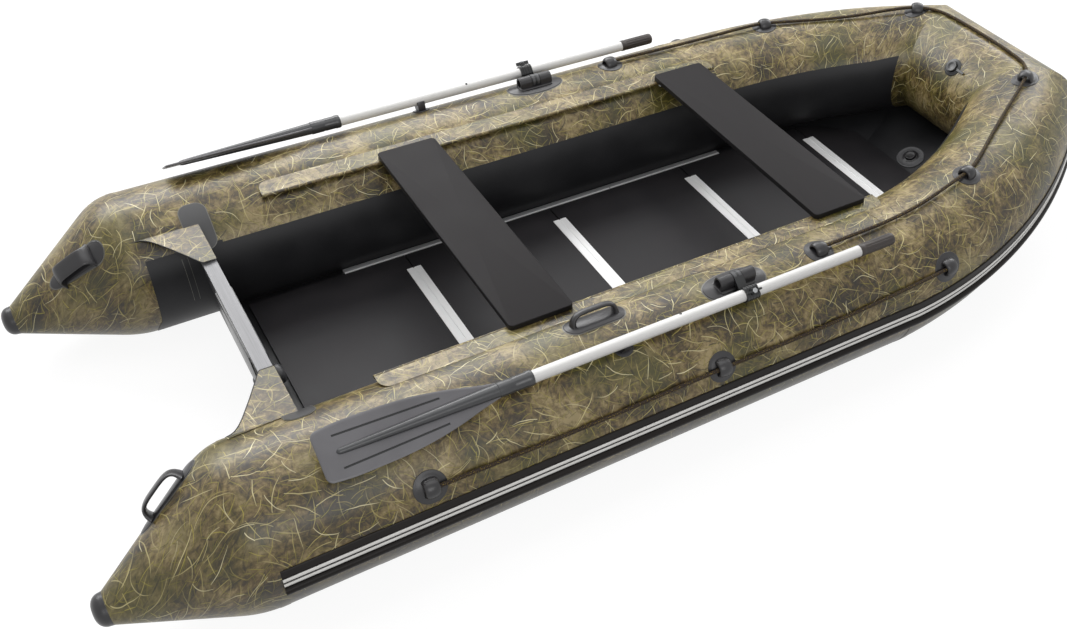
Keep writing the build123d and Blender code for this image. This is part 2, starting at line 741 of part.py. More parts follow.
knob_seat = collar_radius + panel_gap
with BuildPart() as knob:
    with BuildSketch(pin_plane.offset(knob_seat)):
        Circle(knob_radius)
        Circle(pin_radius, mode=Mode.SUBTRACT)
    extrude(amount=knob_height)
    with BuildSketch(pin_plane.offset(knob_seat + knob_height / 4)):
        for wing_side in (1, -1):
            with Locations((wing_side * (knob_radius + wing_length / 2 - wing_height / 3), 0)):
                SlotOverall(wing_length, wing_width)
        Circle(pin_radius, mode=Mode.SUBTRACT)
    extrude(amount=wing_height)
save_pair(knob.part, "oarlock_knob")

# ---------------------------------------------------------------- oars
blade_tip_x = oarlock_x - oar_aft
socket_x = blade_tip_x + blade_length - socket_length
shaft_start = blade_tip_x + blade_length - shaft_lap
shaft_end = oarlock_x + oar_forward - grip_length
pin_hole = pin_radius + pin_clearance
hole_reach = collar_radius + over
shaft_axis = Axis((shaft_end, shaft_y, shaft_z), (1, 0, 0))
with BuildPart() as oar_shaft:
    with BuildSketch(across(shaft_start, shaft_y, shaft_z)):
        Circle(shaft_radius)
    extrude(amount=shaft_end - shaft_start)
    with BuildSketch(pin_plane.offset(-hole_reach)):
        Circle(pin_hole)
    extrude(amount=2 * hole_reach, mode=Mode.SUBTRACT)
save_pair(oar_shaft.part, "oar_shaft")

with BuildPart() as collar:
    collar_start = oarlock_x - collar_length / 2
    with BuildSketch(across(collar_start, shaft_y, shaft_z)):
        RectangleRounded(2 * collar_radius, 2 * collar_radius, collar_corner, rotation=-pin_lean)
        Circle(shaft_radius, mode=Mode.SUBTRACT)
    extrude(amount=collar_length)
    for groove_share in (0.14, 0.86):
        groove_x = collar_start + groove_share * collar_length - collar_groove_width / 2
        with BuildSketch(across(groove_x, shaft_y, shaft_z)):
            Rectangle(3 * collar_radius, 3 * collar_radius)
            groove_size = 2 * (collar_radius - collar_groove)
            RectangleRounded(
                groove_size, groove_size, collar_corner - collar_groove, rotation=-pin_lean, mode=Mode.SUBTRACT
            )
        extrude(amount=collar_groove_width, mode=Mode.SUBTRACT)
    with BuildSketch(pin_plane.offset(-hole_reach)):
        Circle(pin_hole)
    extrude(amount=2 * hole_reach, mode=Mode.SUBTRACT)
save_pair(collar.part, "oar_collar")

grip_radius = shaft_radius + grip_wall
ring_pitch = grip_length / (grip_rings + 1)
grip_line = [(0, grip_radius)]
for ring in range(1, grip_rings + 1):
    grip_line += [
        (ring_pitch * (ring - 0.2), grip_radius), (ring_pitch * ring, grip_radius - grip_groove),
        (ring_pitch * (ring + 0.2), grip_radius),
    ]
grip_line += [(grip_length - grip_radius / 3, grip_radius), (grip_length, 2 * grip_radius / 3), (grip_length, 0)]
with BuildPart() as grip:
    with BuildSketch(Plane((shaft_end, shaft_y, shaft_z), x_dir=(1, 0, 0), z_dir=(0, -1, 0))):
        with BuildLine():
            Polyline((0, 0), *grip_line, close=True)
        make_face()
    revolve(axis=shaft_axis)
save_pair(grip.part, "oar_grip")

blade_plane = Plane(
    (blade_tip_x, shaft_y, shaft_z), x_dir=(1, 0, 0),
    z_dir=(0, sin(radians(blade_slope)), cos(radians(blade_slope))),
)
plate_length = blade_length - 0.84 * socket_length
blade_widths = [(0.0, blade_tip_half_width), (0.27, blade_half_width), (0.51, 0.885 * blade_half_width),
                (0.745, 0.575 * blade_half_width), (1.0, blade_neck_half_width)]
with BuildPart() as blade:
    with BuildSketch(blade_plane.offset(-blade_thickness / 2)):
        with BuildLine():
            port_edge = [(share * plate_length, width) for share, width in blade_widths]
            starboard_edge = [(x, -y) for x, y in port_edge]
            Spline(*port_edge, tangents=((0.5, 0.25), (1, -0.3)))
            Line(port_edge[-1], starboard_edge[-1])
            Spline(*starboard_edge, tangents=((0.5, -0.25), (1, 0.3)))
            Line(starboard_edge[0], port_edge[0])
        make_face()
        for slot_side in (1, -1):
            with Locations((0.67 * slot_length, slot_side * slot_offset)):
                SlotOverall(slot_length, slot_width, mode=Mode.SUBTRACT)
    extrude(amount=blade_thickness)
    with BuildSketch(across(blade_tip_x + 0.65 * socket_length, shaft_y, shaft_z)):
        Circle(spine_tip_radius)
    with BuildSketch(across(socket_x, shaft_y, shaft_z)):
        Circle(shaft_radius + socket_wall)
    loft(ruled=True)
    with BuildSketch(across(socket_x, shaft_y, shaft_z)):
        Circle(shaft_radius + socket_wall)
    extrude(amount=socket_length)
    add(oar_shaft.part, mode=Mode.SUBTRACT)
save_pair(blade.part, "oar_blade")

clip_angle = degrees(atan2(oar_axis_height, oar_axis_offset))
clip_height = hypot(oar_axis_height, oar_axis_offset) - tube_radius
with BuildPart() as oar_clip:
    with BuildSketch(on_tube(clip_x, clip_angle, -base_sink)):
        Circle(clip_foot_radius)
    extrude(amount=base_sink + panel_gap * 10)
    with BuildSketch(on_tube(clip_x, clip_angle)):
        with Locations((0, clip_drop)):
            RectangleRounded(clip_length, clip_width, clip_corner)
    extrude(amount=clip_height)
    with BuildSketch(across(clip_x - clip_foot_radius - over, shaft_y, shaft_z)):
        Circle(shaft_radius + panel_gap)
    extrude(amount=2 * (clip_foot_radius + over), mode=Mode.SUBTRACT)
    add(side_tube.part, mode=Mode.SUBTRACT)
save_both(oar_clip.part, "oar_clips")


# ---------------------------------------------------------------- handles
def loop_handle(plane, carrier):
    """A moulded carry handle standing on the carrier at a plane: a base and a raised bar."""
    foot = handle_length / 2 - handle_foot_inset
    foot_z = handle_base_height / 2
    sink = 4 * handle_base_height
    with BuildPart() as handle:
        with BuildSketch(plane.offset(-sink)):
            SlotOverall(handle_length, handle_base_width)
        extrude(amount=sink + handle_base_height)
        bar_plane = Plane(plane.origin, x_dir=plane.x_dir, z_dir=plane.y_dir * -1)
        with BuildLine(bar_plane) as bar_path:
            FilletPolyline(
                (-foot, foot_z), (-foot, handle_rise), (foot, handle_rise), (foot, foot_z), radius=handle_bend
            )
        with BuildSketch(Plane(bar_path.line @ 0, z_dir=bar_path.line % 0)):
            Circle(handle_bar_radius)
        sweep(path=bar_path.line)
        add(carrier, mode=Mode.SUBTRACT)
    return handle.part.solids().sort_by(SortBy.VOLUME)[-1]


carry_plane = on_tube(stern_x + carry_handle_from_stern, carry_handle_angle)
save_both(loop_handle(carry_plane, side_tube.part), "carry_handles")

cone_run = cone_tip - cone_root
cone_centre = cone_root + cone_run * stern_handle_fraction
cone_radius = tube_radius + (cone_tip_radius - tube_radius) * stern_handle_fraction
cone_radial = Vector(0, cos(radians(stern_handle_angle)), sin(radians(stern_handle_angle)))
cone_taper = (cone_tip_radius - tube_radius) / cone_length
cone_along = (cone_run * (1 / cone_length) + cone_radial * cone_taper).normalized()
cone_out = (cone_radial - cone_along * cone_radial.dot(cone_along)).normalized()
stern_plane = Plane(cone_centre + cone_radial * cone_radius, x_dir=cone_along, z_dir=cone_out)
save_both(loop_handle(stern_plane, stern_cone.part), "stern_handles")


# ---------------------------------------------------------------- rope eyelets
def eyelet(plane, carrier):
    """A round rope eyelet on the carrier at a plane, its hole along the plane's x direction."""
    sink = 2 * rope_radius
    arch_middle = eyelet_height - eyelet_arch_width / 2
    arch_plane = Plane(
        plane.origin - plane.x_dir * (eyelet_arch_length / 2), x_dir=plane.y_dir, z_dir=plane.x_dir
    )
    hole_plane = Plane(
        plane.origin - plane.x_dir * (eyelet_radius + over), x_dir=plane.y_dir, z_dir=plane.x_dir
    )
    with BuildPart() as fitting:
        with BuildSketch(plane.offset(-sink)):
            Circle(eyelet_radius)
        extrude(amount=sink + eyelet_disc)
        with BuildSketch(arch_plane):
            with Locations((0, arch_middle)):
                Circle(eyelet_arch_width / 2)
            with Locations((0, arch_middle / 2)):
                Rectangle(eyelet_arch_width, arch_middle)
        extrude(amount=eyelet_arch_length)
        with BuildSketch(hole_plane):
            with Locations((0, rope_lift)):
                Circle(rope_radius + over)
        extrude(amount=2 * (eyelet_radius + over), mode=Mode.SUBTRACT)
        add(carrier, mode=Mode.SUBTRACT)
    return fitting.part.solids().sort_by(SortBy.VOLUME)[-1]


aft_eyelet_x = stern_x + aft_eyelet_from_stern
middle_eyelet_x = oarlock_x - middle_eyelet_aft_of_oarlock
side_eyelet_planes = [
    on_tube(aft_eyelet_x, side_line_angle),
    on_tube(middle_eyelet_x, side_line_angle),
    on_bow(0.11, side_line_angle + 3),
]
top_eyelet_planes = [
    on_tube(oarlock_x + top_eyelet_ahead_of_oarlock, top_line_angle),
    on_bow(0.364, top_line_angle + 3),
    on_bow(0.93, top_line_angle + 9),
]
carriers = [side_tube.part, side_tube.part, bow_quarter.part, side_tube.part, bow_quarter.part, bow_quarter.part]
with BuildPart() as eyelets:
    for eyelet_plane, carrier in zip(side_eyelet_planes + top_eyelet_planes, carriers):
        add(eyelet(eyelet_plane, carrier))
save_both(eyelets.part, "line_eyelets")


# ---------------------------------------------------------------- grab lines
rope_lead = 40.0            # straight run through an eyelet, each side of its middle
rope_tail = 30.0
rope_rest = rope_lift - rope_radius / 2


def lifted(plane, amount, along=0.0):
    """Point above a plane's origin, and along its x direction."""
    return plane.origin + plane.z_dir * amount + plane.x_dir * along


def rope(points, radius_share=0.45):
    """A rope through points, with straight runs joined by arcs as large as the runs allow."""
    vectors = [Vector(*tuple(point)) for point in points]
    radii = []
    for before, here, after in zip(vectors, vectors[1:], vectors[2:]):
        turn = radians((here - before).get_angle(after - here))
        radii.append(radius_share * min((here - before).length, (after - here).length) / tan(turn / 2))
    with BuildPart() as line:
        with BuildLine() as path:
            FilletPolyline(*vectors, radius=radii)
        with BuildSketch(Plane(path.line @ 0, z_dir=path.line % 0)):
            RegularPolygon(rope_radius, 8)
        sweep(path=path.line)
    return line.part


aft_rest_x = (aft_eyelet_x + middle_eyelet_x) / 2
fore_rest_x = (middle_eyelet_x + side_eyelet_planes[2].origin.X) / 2
side_line = rope([
    lifted(side_eyelet_planes[0], rope_lift, -rope_tail),
    lifted(side_eyelet_planes[0], rope_lift, rope_lead),
    lifted(on_tube(aft_rest_x, side_line_angle - 2), rope_rest),
    lifted(side_eyelet_planes[1], rope_lift, -rope_lead),
    lifted(side_eyelet_planes[1], rope_lift, rope_lead),
    lifted(on_tube(fore_rest_x, side_line_angle - 1), rope_rest),
    lifted(side_eyelet_planes[2], rope_lift, -rope_lead),
    lifted(side_eyelet_planes[2], rope_lift, rope_tail),
])
save_pair(side_line, "side_grab_line")

half_points = [
    lifted(top_eyelet_planes[0], rope_lift, -rope_tail),
    lifted(top_eyelet_planes[0], rope_lift, rope_lead),
    lifted(on_bow(0.08, top_line_angle + 1), rope_rest),
    lifted(top_eyelet_planes[1], rope_lift, -rope_lead),
    lifted(top_eyelet_planes[1], rope_lift, rope_lead),
    lifted(on_bow(0.65, top_line_angle + 6), rope_rest),
    lifted(top_eyelet_planes[2], rope_lift, -rope_lead),
    lifted(top_eyelet_planes[2], rope_lift, rope_lead),
    Vector(corner_x + rope_radius, bow_corner_offset - 1.5 * rope_lead, bow_axis_z + bow_tube_radius + rope_rest),
]
other_points = [Vector(point.X, -point.Y, point.Z) for point in reversed(half_points)]
save(rope(half_points + other_points), "bow_grab_line")


# ---------------------------------------------------------------- air valves
def air_valve(plane, sink=0.0):
    """An inflation valve standing on a plane: a flange and its screw cap."""
    with BuildPart() as valve:
        with BuildSketch(plane.offset(-sink)):
            Circle(valve_flange_radius)
        extrude(amount=sink + valve_flange)
        with BuildSketch(plane.offset(valve_flange)):
            Circle(valve_cap_radius)
        extrude(amount=valve_cap)
        chamfer(valve.faces().sort_by(Axis(plane.origin, plane.z_dir))[-1].edges(), valve_flange / 2)
    return valve.part


valve_out = Vector(cos(radians(bow_valve_angle)), 0, sin(radians(bow_valve_angle)))
bow_valve_plane = Plane(
    Vector(corner_x, bow_valve_offset, bow_axis_z) + valve_out * bow_tube_radius, z_dir=valve_out
)
with BuildPart() as bow_valve:
    add(air_valve(bow_valve_plane, valve_flange))
    add(bow_tube.part, mode=Mode.SUBTRACT)
save(bow_valve.part.solids().sort_by(SortBy.VOLUME)[-1], "bow_air_valve")

keel_valve_x = floor_front_x + keel_valve_ahead_of_floor
skin_slope = (late_top - bottom_top_z) / (late_bow_x - floor_front_x)
keel_valve_plane = Plane(
    (keel_valve_x, 0, bottom_top_z + skin_slope * (keel_valve_x - floor_front_x)),
    x_dir=(1, 0, skin_slope), z_dir=(-skin_slope, 0, 1),
)
save(air_valve(keel_valve_plane), "keel_air_valve")
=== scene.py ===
"""Looks of an inflatable boat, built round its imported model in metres.

X runs to the bow, Y to port and Z up.  Port pieces are worked out once on numpy grids and mirrored.
"""

import logging
import math
from dataclasses import dataclass, field
from enum import Enum

import bpy
import numpy as np
from mathutils import Matrix, Vector


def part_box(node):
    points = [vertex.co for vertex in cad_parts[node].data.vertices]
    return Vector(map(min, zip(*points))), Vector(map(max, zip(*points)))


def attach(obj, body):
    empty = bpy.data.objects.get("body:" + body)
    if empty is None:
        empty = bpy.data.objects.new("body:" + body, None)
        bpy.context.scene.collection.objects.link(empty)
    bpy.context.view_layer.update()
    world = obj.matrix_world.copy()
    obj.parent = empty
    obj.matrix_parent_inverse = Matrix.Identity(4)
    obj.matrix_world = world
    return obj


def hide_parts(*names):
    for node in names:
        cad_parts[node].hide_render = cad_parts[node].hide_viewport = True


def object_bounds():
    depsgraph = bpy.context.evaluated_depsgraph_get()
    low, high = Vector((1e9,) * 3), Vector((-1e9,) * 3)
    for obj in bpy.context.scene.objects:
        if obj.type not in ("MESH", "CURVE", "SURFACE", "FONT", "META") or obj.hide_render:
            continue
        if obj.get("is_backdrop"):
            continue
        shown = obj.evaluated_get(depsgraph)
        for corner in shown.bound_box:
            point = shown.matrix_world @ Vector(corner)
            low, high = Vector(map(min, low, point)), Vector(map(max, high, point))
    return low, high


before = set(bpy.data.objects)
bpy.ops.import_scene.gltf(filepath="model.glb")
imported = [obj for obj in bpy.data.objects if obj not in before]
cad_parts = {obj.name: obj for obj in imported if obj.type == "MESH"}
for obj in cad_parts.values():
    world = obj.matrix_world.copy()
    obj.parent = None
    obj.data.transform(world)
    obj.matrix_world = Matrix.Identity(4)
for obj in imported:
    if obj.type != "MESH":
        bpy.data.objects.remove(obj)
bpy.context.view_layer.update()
LOG = logging.getLogger("boat")
Array = np.ndarray
Socket = bpy.types.NodeSocket
AHEAD = np.array([1.0, 0.0, 0.0])
TO_PORT = np.array([0.0, 1.0, 0.0])
UP = np.array([0.0, 0.0, 1.0])
MM = 0.001
CLOTH = "cloth"     # the UV map with each point's place on the uncut cloth, in metres


class Side(Enum):
    """The two sides of the boat, as the factor that Y takes."""

    PORT = 1
    STARBOARD = -1


BOTH_SIDES = (Side.PORT, Side.STARBOARD)


# ---------------------------------------------------------------- surfaces
@dataclass
class Surface:
    """A mesh as whole arrays: points, faces of four and three corners, and each point's place on the cloth."""

    points: Array
    quads: Array
    triangles: Array
    flat: Array

    @staticmethod
    def grid(points: Array, flat: Array | None = None, ring: bool = False, caps: bool = False,
             loop: bool = False) -> "Surface":
        """Join a grid of points into faces.

        Formula: point (i, j) joins (i, j + 1), (i + 1, j + 1) and (i + 1, j); a ring's last column joins its
        first, and a loop's last row its first.
        Args:
            points: rows by columns by 3.
            flat: rows by columns by 2, the place of each point on the uncut cloth, in metres.
            ring: whether each row is a closed loop.
            caps: whether the first and last rows are closed by a fan round their middle.
            loop: whether the last row joins the first.
        Returns:
            The surface. Its faces point along (next column) x (next row).
        """
        rows, columns = points.shape[:2]
        flat = np.zeros((rows, columns, 2)) if flat is None else flat
        number = np.arange(rows * columns).reshape(rows, columns)
        after = np.roll(number, -1, axis=1) if ring else number[:, 1:]
        here = number if ring else number[:, :-1]
        if loop:
            here, after = np.vstack([here, here[:1]]), np.vstack([after, after[:1]])
        quads = np.stack([here[:-1], after[:-1], after[1:], here[1:]], axis=-1).reshape(-1, 4)
        xyz, uv = points.reshape(-1, 3), flat.reshape(-1, 2)
        triangles = np.zeros((0, 3), int)
        if caps:
            xyz = np.vstack([xyz, points[0].mean(0), points[-1].mean(0)])
            uv = np.vstack([uv, flat[0].mean(0), flat[-1].mean(0)])
            low = np.full(columns, rows * columns)
            first = np.stack([low, after[0], here[0]], axis=-1)
            last = np.stack([low + 1, here[-1], after[-1]], axis=-1)
            triangles = np.vstack([first, last])
        return Surface(xyz, quads, triangles, uv)

    @staticmethod
    def slab(top: Array, bottom: Array, flat: Array | None = None,
             holes: tuple[tuple[int, int, int, int], ...] = ()) -> "Surface":
        """Close two grids of one size into a sheet with a thickness.

        Formula: the top grid's faces, the bottom grid's turned over, and walls round the border and each hole.
        Args:
            top, bottom: rows by columns by 3.
            flat: the top's places on the uncut cloth.
            holes: for each opening, its first and last row and its first and last column.
        Returns:
            The closed sheet.
        """
        rows, columns = top.shape[:2]
        count = rows * columns
        number = np.arange(count).reshape(rows, columns)
        kept = np.ones((rows - 1, columns - 1), bool)
        for low_i, high_i, low_j, high_j in holes:
            kept[low_i:high_i, low_j:high_j] = False
        upper = np.stack([number[:-1, :-1], number[:-1, 1:], number[1:, 1:], number[1:, :-1]], axis=-1)[kept]
        faces = [upper, upper[:, ::-1] + count]
        borders = [(number, False)]
        borders += [(number[i0:i1 + 1, j0:j1 + 1], True) for i0, i1, j0, j1 in holes]
        for block, inner in borders:
            loop = np.concatenate([block[0, :-1], block[:-1, -1], block[-1, :0:-1], block[:0:-1, 0]])
            ahead = np.roll(loop, -1)
            wall = np.stack([loop, loop + count, ahead + count, ahead], axis=-1)
            faces.append(wall[:, ::-1] if inner else wall)
        cloth = np.zeros((count, 2)) if flat is None else flat.reshape(-1, 2)
        return Surface(
            np.vstack([top.reshape(-1, 3), bottom.reshape(-1, 3)]), np.vstack(faces),
            np.zeros((0, 3), int), np.vstack([cloth, cloth]),
        )

    def moved(self, points: Array) -> "Surface":
        """The same faces on other points."""
        return Surface(points, self.quads, self.triangles, self.flat)

    def turned(self) -> "Surface":
        """The same surface facing the other way."""
        return Surface(self.points, self.quads[:, ::-1], self.triangles[:, ::-1], self.flat)

    def mirrored(self, side: Side) -> "Surface":
        """The port surface as it is, or its starboard image with its faces turned to match."""
        if side is Side.PORT:
            return self
        return self.moved(self.points * np.array([1.0, -1.0, 1.0])).turned()

    def both(self) -> "Surface":
        """The port surface together with its starboard image."""
        return self.joined(self.mirrored(Side.STARBOARD))

    def joined(self, *others: "Surface") -> "Surface":
        """One surface with the faces of several."""
        parts = (self, *others)
        starts = np.cumsum([0] + [len(part.points) for part in parts])
        return Surface(
            np.vstack([part.points for part in parts]),
            np.vstack([part.quads + start for part, start in zip(parts, starts)]),
            np.vstack([part.triangles + start for part, start in zip(parts, starts)]),
            np.vstack([part.flat for part in parts]),
        )

    def piece(self, name: str, finish: "Finish", body: str = "hull", replaces: tuple[str, ...] = (),
              smooth: float = 40.0) -> bpy.types.Object:
        """Put the surface into a Blender mesh that rides on a body.

        Args:
            name: the piece's name.
            finish: its material.
            body: the CAD body it moves with.
            replaces: the CAD nodes it stands for.
            smooth: the angle in degrees up to which an edge is shaded smooth.
        Returns:
            The new object, at the origin.
        """
        mesh = bpy.data.meshes.new(name)
        loops = np.concatenate([self.quads.ravel(), self.triangles.ravel()]).astype(np.int32)
        sizes = np.concatenate([np.full(len(self.quads), 4), np.full(len(self.triangles), 3)])
        mesh.vertices.add(len(self.points))
        mesh.vertices.foreach_set("co", self.points.astype(np.float32).ravel())
        mesh.loops.add(len(loops))
        mesh.loops.foreach_set("vertex_index", loops)
        mesh.polygons.add(len(sizes))
        mesh.polygons.foreach_set("loop_start", (np.cumsum(sizes) - sizes).astype(np.int32))
        mesh.update(calc_edges=True)
        cloth = mesh.uv_layers.new(name=CLOTH)
        cloth.data.foreach_set("uv", self.flat[loops].astype(np.float32).ravel())
        mesh.polygons.foreach_set("use_smooth", np.ones(len(sizes), bool))
        mesh.validate()
        mesh.set_sharp_from_angle(angle=math.radians(smooth))
        mesh.materials.append(finish.material())
        thing = bpy.data.objects.new(name, mesh)
        bpy.context.scene.collection.objects.link(thing)
        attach(thing, body)
        if replaces:
            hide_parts(*replaces)
        LOG.info("%s: %d faces", name, len(sizes))
        return thing

    def pair(self, name: str, finish: "Finish", body: str = "", replaces: str = "",
             smooth: float = 40.0) -> None:
        """Put the port surface and its starboard image into a piece each.

        Args:
            name: the pieces' name, without the side that goes before it.
            finish: their material.
            body: the CAD body on that side, without its side, or nothing for the hull.
            replaces: the CAD node on that side that a piece stands for, without its side.
            smooth: as for one piece.
        """
        for side in BOTH_SIDES:
            label = side.name.lower()
            self.mirrored(side).piece(f"{label}_{name}", finish, body=f"{label}_{body}" if body else "hull",
                                      replaces=(f"{label}_{replaces}",) if replaces else (), smooth=smooth)


def full_turn(count: int) -> Array:
    """Even angles round a full turn."""
    return np.linspace(0, 2 * math.pi, count, endpoint=False)


def circle(angles: Array) -> Array:
    """Points on a circle of radius 1: the cosine and sine of each angle."""
    return np.stack([np.cos(angles), np.sin(angles)], axis=-1)


def rounded(width: float, height: float, corner: float, steps: int = 6) -> Array:
    """A rectangle with round corners, as a loop.

    Formula: each corner's centre plus the radius times cosine and sine over a quarter turn.
    Args:
        width, height: the whole size.
        corner: the corners' radius.
        steps: points along each corner.
    Returns:
        Points by 2, turning left.
    """
    sweep = np.linspace(0, math.pi / 2, steps)
    quarters = np.arange(4)[:, None] * math.pi / 2 + sweep
    signs = np.array([[1, 1], [-1, 1], [-1, -1], [1, -1]])
    centres = signs * np.array([width / 2 - corner, height / 2 - corner])
    loop = centres[:, None] + corner * circle(quarters)
    return loop.reshape(-1, 2)


def oval(length: float, width: float, power: float = 2.0, count: int = 64) -> Array:
    """A closed oval as a loop.

    Formula: x and y are cosine and sine, each raised to 2 over the power and given its sign again.
    Args:
        length, width: the whole size.
        power: 2 for an ellipse, and more for a fuller shape.
        count: points round.
    Returns:
        Points by 2, turning left.
    """
    cosine, sine = circle(full_turn(count)).T
    x = np.sign(cosine) * np.abs(cosine) ** (2 / power) * length / 2
    y = np.sign(sine) * np.abs(sine) ** (2 / power) * width / 2
    return np.stack([x, y], axis=-1)


def pillow(outline: Array, steps: Array) -> Surface:
    """A plate with shaped edges.

    Formula: ring k is the outline moved inwards along its own normal by the step's inset, at the step's height.
    Args:
        outline: points by 2, turning left.
        steps: rings by 2, each an inset and a height, from the underside up.
    Returns:
        A closed surface in local x, y and z.
    """
    tangent = np.roll(outline, -1, axis=0) - np.roll(outline, 1, axis=0)
    inward = np.stack([-tangent[:, 1], tangent[:, 0]], axis=-1)
    inward /= np.linalg.norm(inward, axis=1, keepdims=True)
    rings = outline[None] + inward[None] * steps[:, None, :1]
    heights = np.broadcast_to(steps[:, None, 1:], rings.shape[:2] + (1,))
    points = np.concatenate([rings, heights], axis=-1)
    return Surface.grid(points, rings, ring=True, caps=True)


def carried(profile: Array, path: Array, side: Array, up: Array, caps: bool = True) -> Surface:
    """A profile carried along a path.

    Formula: point (i, j) is path i plus profile j's x times side i plus its y times up i.
    Args:
        profile: a loop of points by 2, or rows of loops, one for each path point.
        path, side, up: one row of 3 for each place along the way.
        caps: whether the ends are closed.
    Returns:
        The surface, its flat places in metres along and round.
    """
    loops = np.broadcast_to(profile, (len(path), *profile.shape[-2:]))
    points = path[:, None] + loops[..., :1] * side[:, None] + loops[..., 1:] * up[:, None]
    along = np.concatenate([[0], np.cumsum(np.linalg.norm(np.diff(path, axis=0), axis=1))])
    round_ = np.concatenate([[0], np.cumsum(np.linalg.norm(np.diff(loops[0], axis=0), axis=1))])
    flat = np.stack(np.broadcast_arrays(along[:, None], round_[None]), axis=-1)
    return Surface.grid(points, flat, ring=True, caps=caps)


def frames(path: Array, up: Array) -> tuple[Array, Array]:
    """Left and up directions along a path.

    Formula: left is up crossed with the path's direction, and the new up is that direction crossed with left.
    Args:
        path: one row of 3 for each place.
        up: roughly up, for the whole path.
    Returns:
        The left directions and the up directions, one row for each place.
    """
    ahead = np.gradient(path, axis=0)
    ahead /= np.linalg.norm(ahead, axis=1, keepdims=True)
    left = np.cross(np.broadcast_to(up, path.shape), ahead)
    left /= np.linalg.norm(left, axis=1, keepdims=True)
    return left, np.cross(ahead, left)


def eased(x: Array, knots: tuple[float, ...], values: tuple[float, ...]) -> Array:
    """A smooth curve through knots.

    Formula: cubic Hermite pieces whose slope at a knot is that of the line between its neighbours.
    Args:
        x: where the curve is wanted.
        knots, values: the curve's points, with knots that rise.
    Returns:
        The curve's values, even past its ends.
    """
    k, v = np.asarray(knots, float), np.asarray(values, float)
    slope = np.gradient(v, k)
    index = np.clip(np.searchsorted(k, x, side="right") - 1, 0, len(k) - 2)
    width = k[index + 1] - k[index]
    t = (np.clip(x, k[0], k[-1]) - k[index]) / width
    start, end = v[index], v[index + 1]
    return (start * (2 * t**3 - 3 * t**2 + 1) + end * (3 * t**2 - 2 * t**3)
            + width * (slope[index] * (t**3 - 2 * t**2 + t) + slope[index + 1] * (t**3 - t**2)))


def spun(profile: Array, count: int = 48) -> Surface:
    """A turned shape about local z.

    Formula: x and y are the profile's radius times cosine and sine of the turn, and z is its height.
    Args:
        profile: points by 2, each a radius and a height, from the foot up.
        count: points round.
    Returns:
        A closed surface in local x, y and z.
    """
    points = np.concatenate([
        profile[:, None, :1] * circle(full_turn(count))[None],
        np.broadcast_to(profile[:, None, 1:], (len(profile), count, 1)),
    ], axis=-1)
    return Surface.grid(points, points[..., :2], ring=True, caps=True)


def placed(surface: Surface, origin: Array, x_dir: Array, z_dir: Array) -> Surface:
    """Local x, y and z put at an origin with given directions.

    Formula: origin plus x times x_dir plus y times (z_dir crossed with x_dir) plus z times z_dir.
    Args:
        surface: the surface in local x, y and z.
        origin: where its origin goes.
        x_dir, z_dir: unit directions, square to each other.
    Returns:
        The surface in its place.
    """
    axes = np.array([x_dir, np.cross(z_dir, x_dir), z_dir])
    return surface.moved(np.asarray(origin) + surface.points @ axes)


# ---------------------------------------------------------------- finishes
MATH, MIX, RANGE, RAMP = "ShaderNodeMath", "ShaderNodeMix", "ShaderNodeMapRange", "ShaderNodeValToRGB"
NOISE, BUMP, MAPPING = "ShaderNodeTexNoise", "ShaderNodeBump", "ShaderNodeMapping"
SPLIT, VECTOR_MATH = "ShaderNodeSeparateXYZ", "ShaderNodeVectorMath"


def linear(colour: str) -> tuple[float, float, float, float]:
    """An sRGB hex colour as linear red, green, blue and alpha."""
    parts = [int(colour[k:k + 2], 16) / 255 for k in (1, 3, 5)]
    return (*[c / 12.92 if c <= 0.04045 else ((c + 0.055) / 1.055) ** 2.4 for c in parts], 1.0)


def node(tree: bpy.types.NodeTree, kind: str, links: dict | None = None,
         stops: tuple[tuple[float, str], ...] = (), **settings: object) -> bpy.types.NodeOutputs:
    """Add one node.

    Args:
        tree: the tree of a material or of the world.
        kind: the node's type name.
        links: for each input, the socket that feeds it or the value that it takes.
        stops: for a colour ramp, each place from 0 to 1 with its hex colour.
        settings: the node's own properties.
    Returns:
        The node's outputs.
    """
    item = tree.nodes.new(kind)
    for name, value in settings.items():
        setattr(item, name, value)
    for key, value in (links or {}).items():
        if isinstance(value, Socket):
            tree.links.new(value, item.inputs[key])
        else:
            item.inputs[key].default_value = value
    bar = item.color_ramp.elements if stops else ()
    while len(bar) < len(stops):
        bar.new(0.5)
    for stop, (place, colour) in zip(bar, stops):
        stop.position, stop.color = place, linear(colour)
    return item.outputs


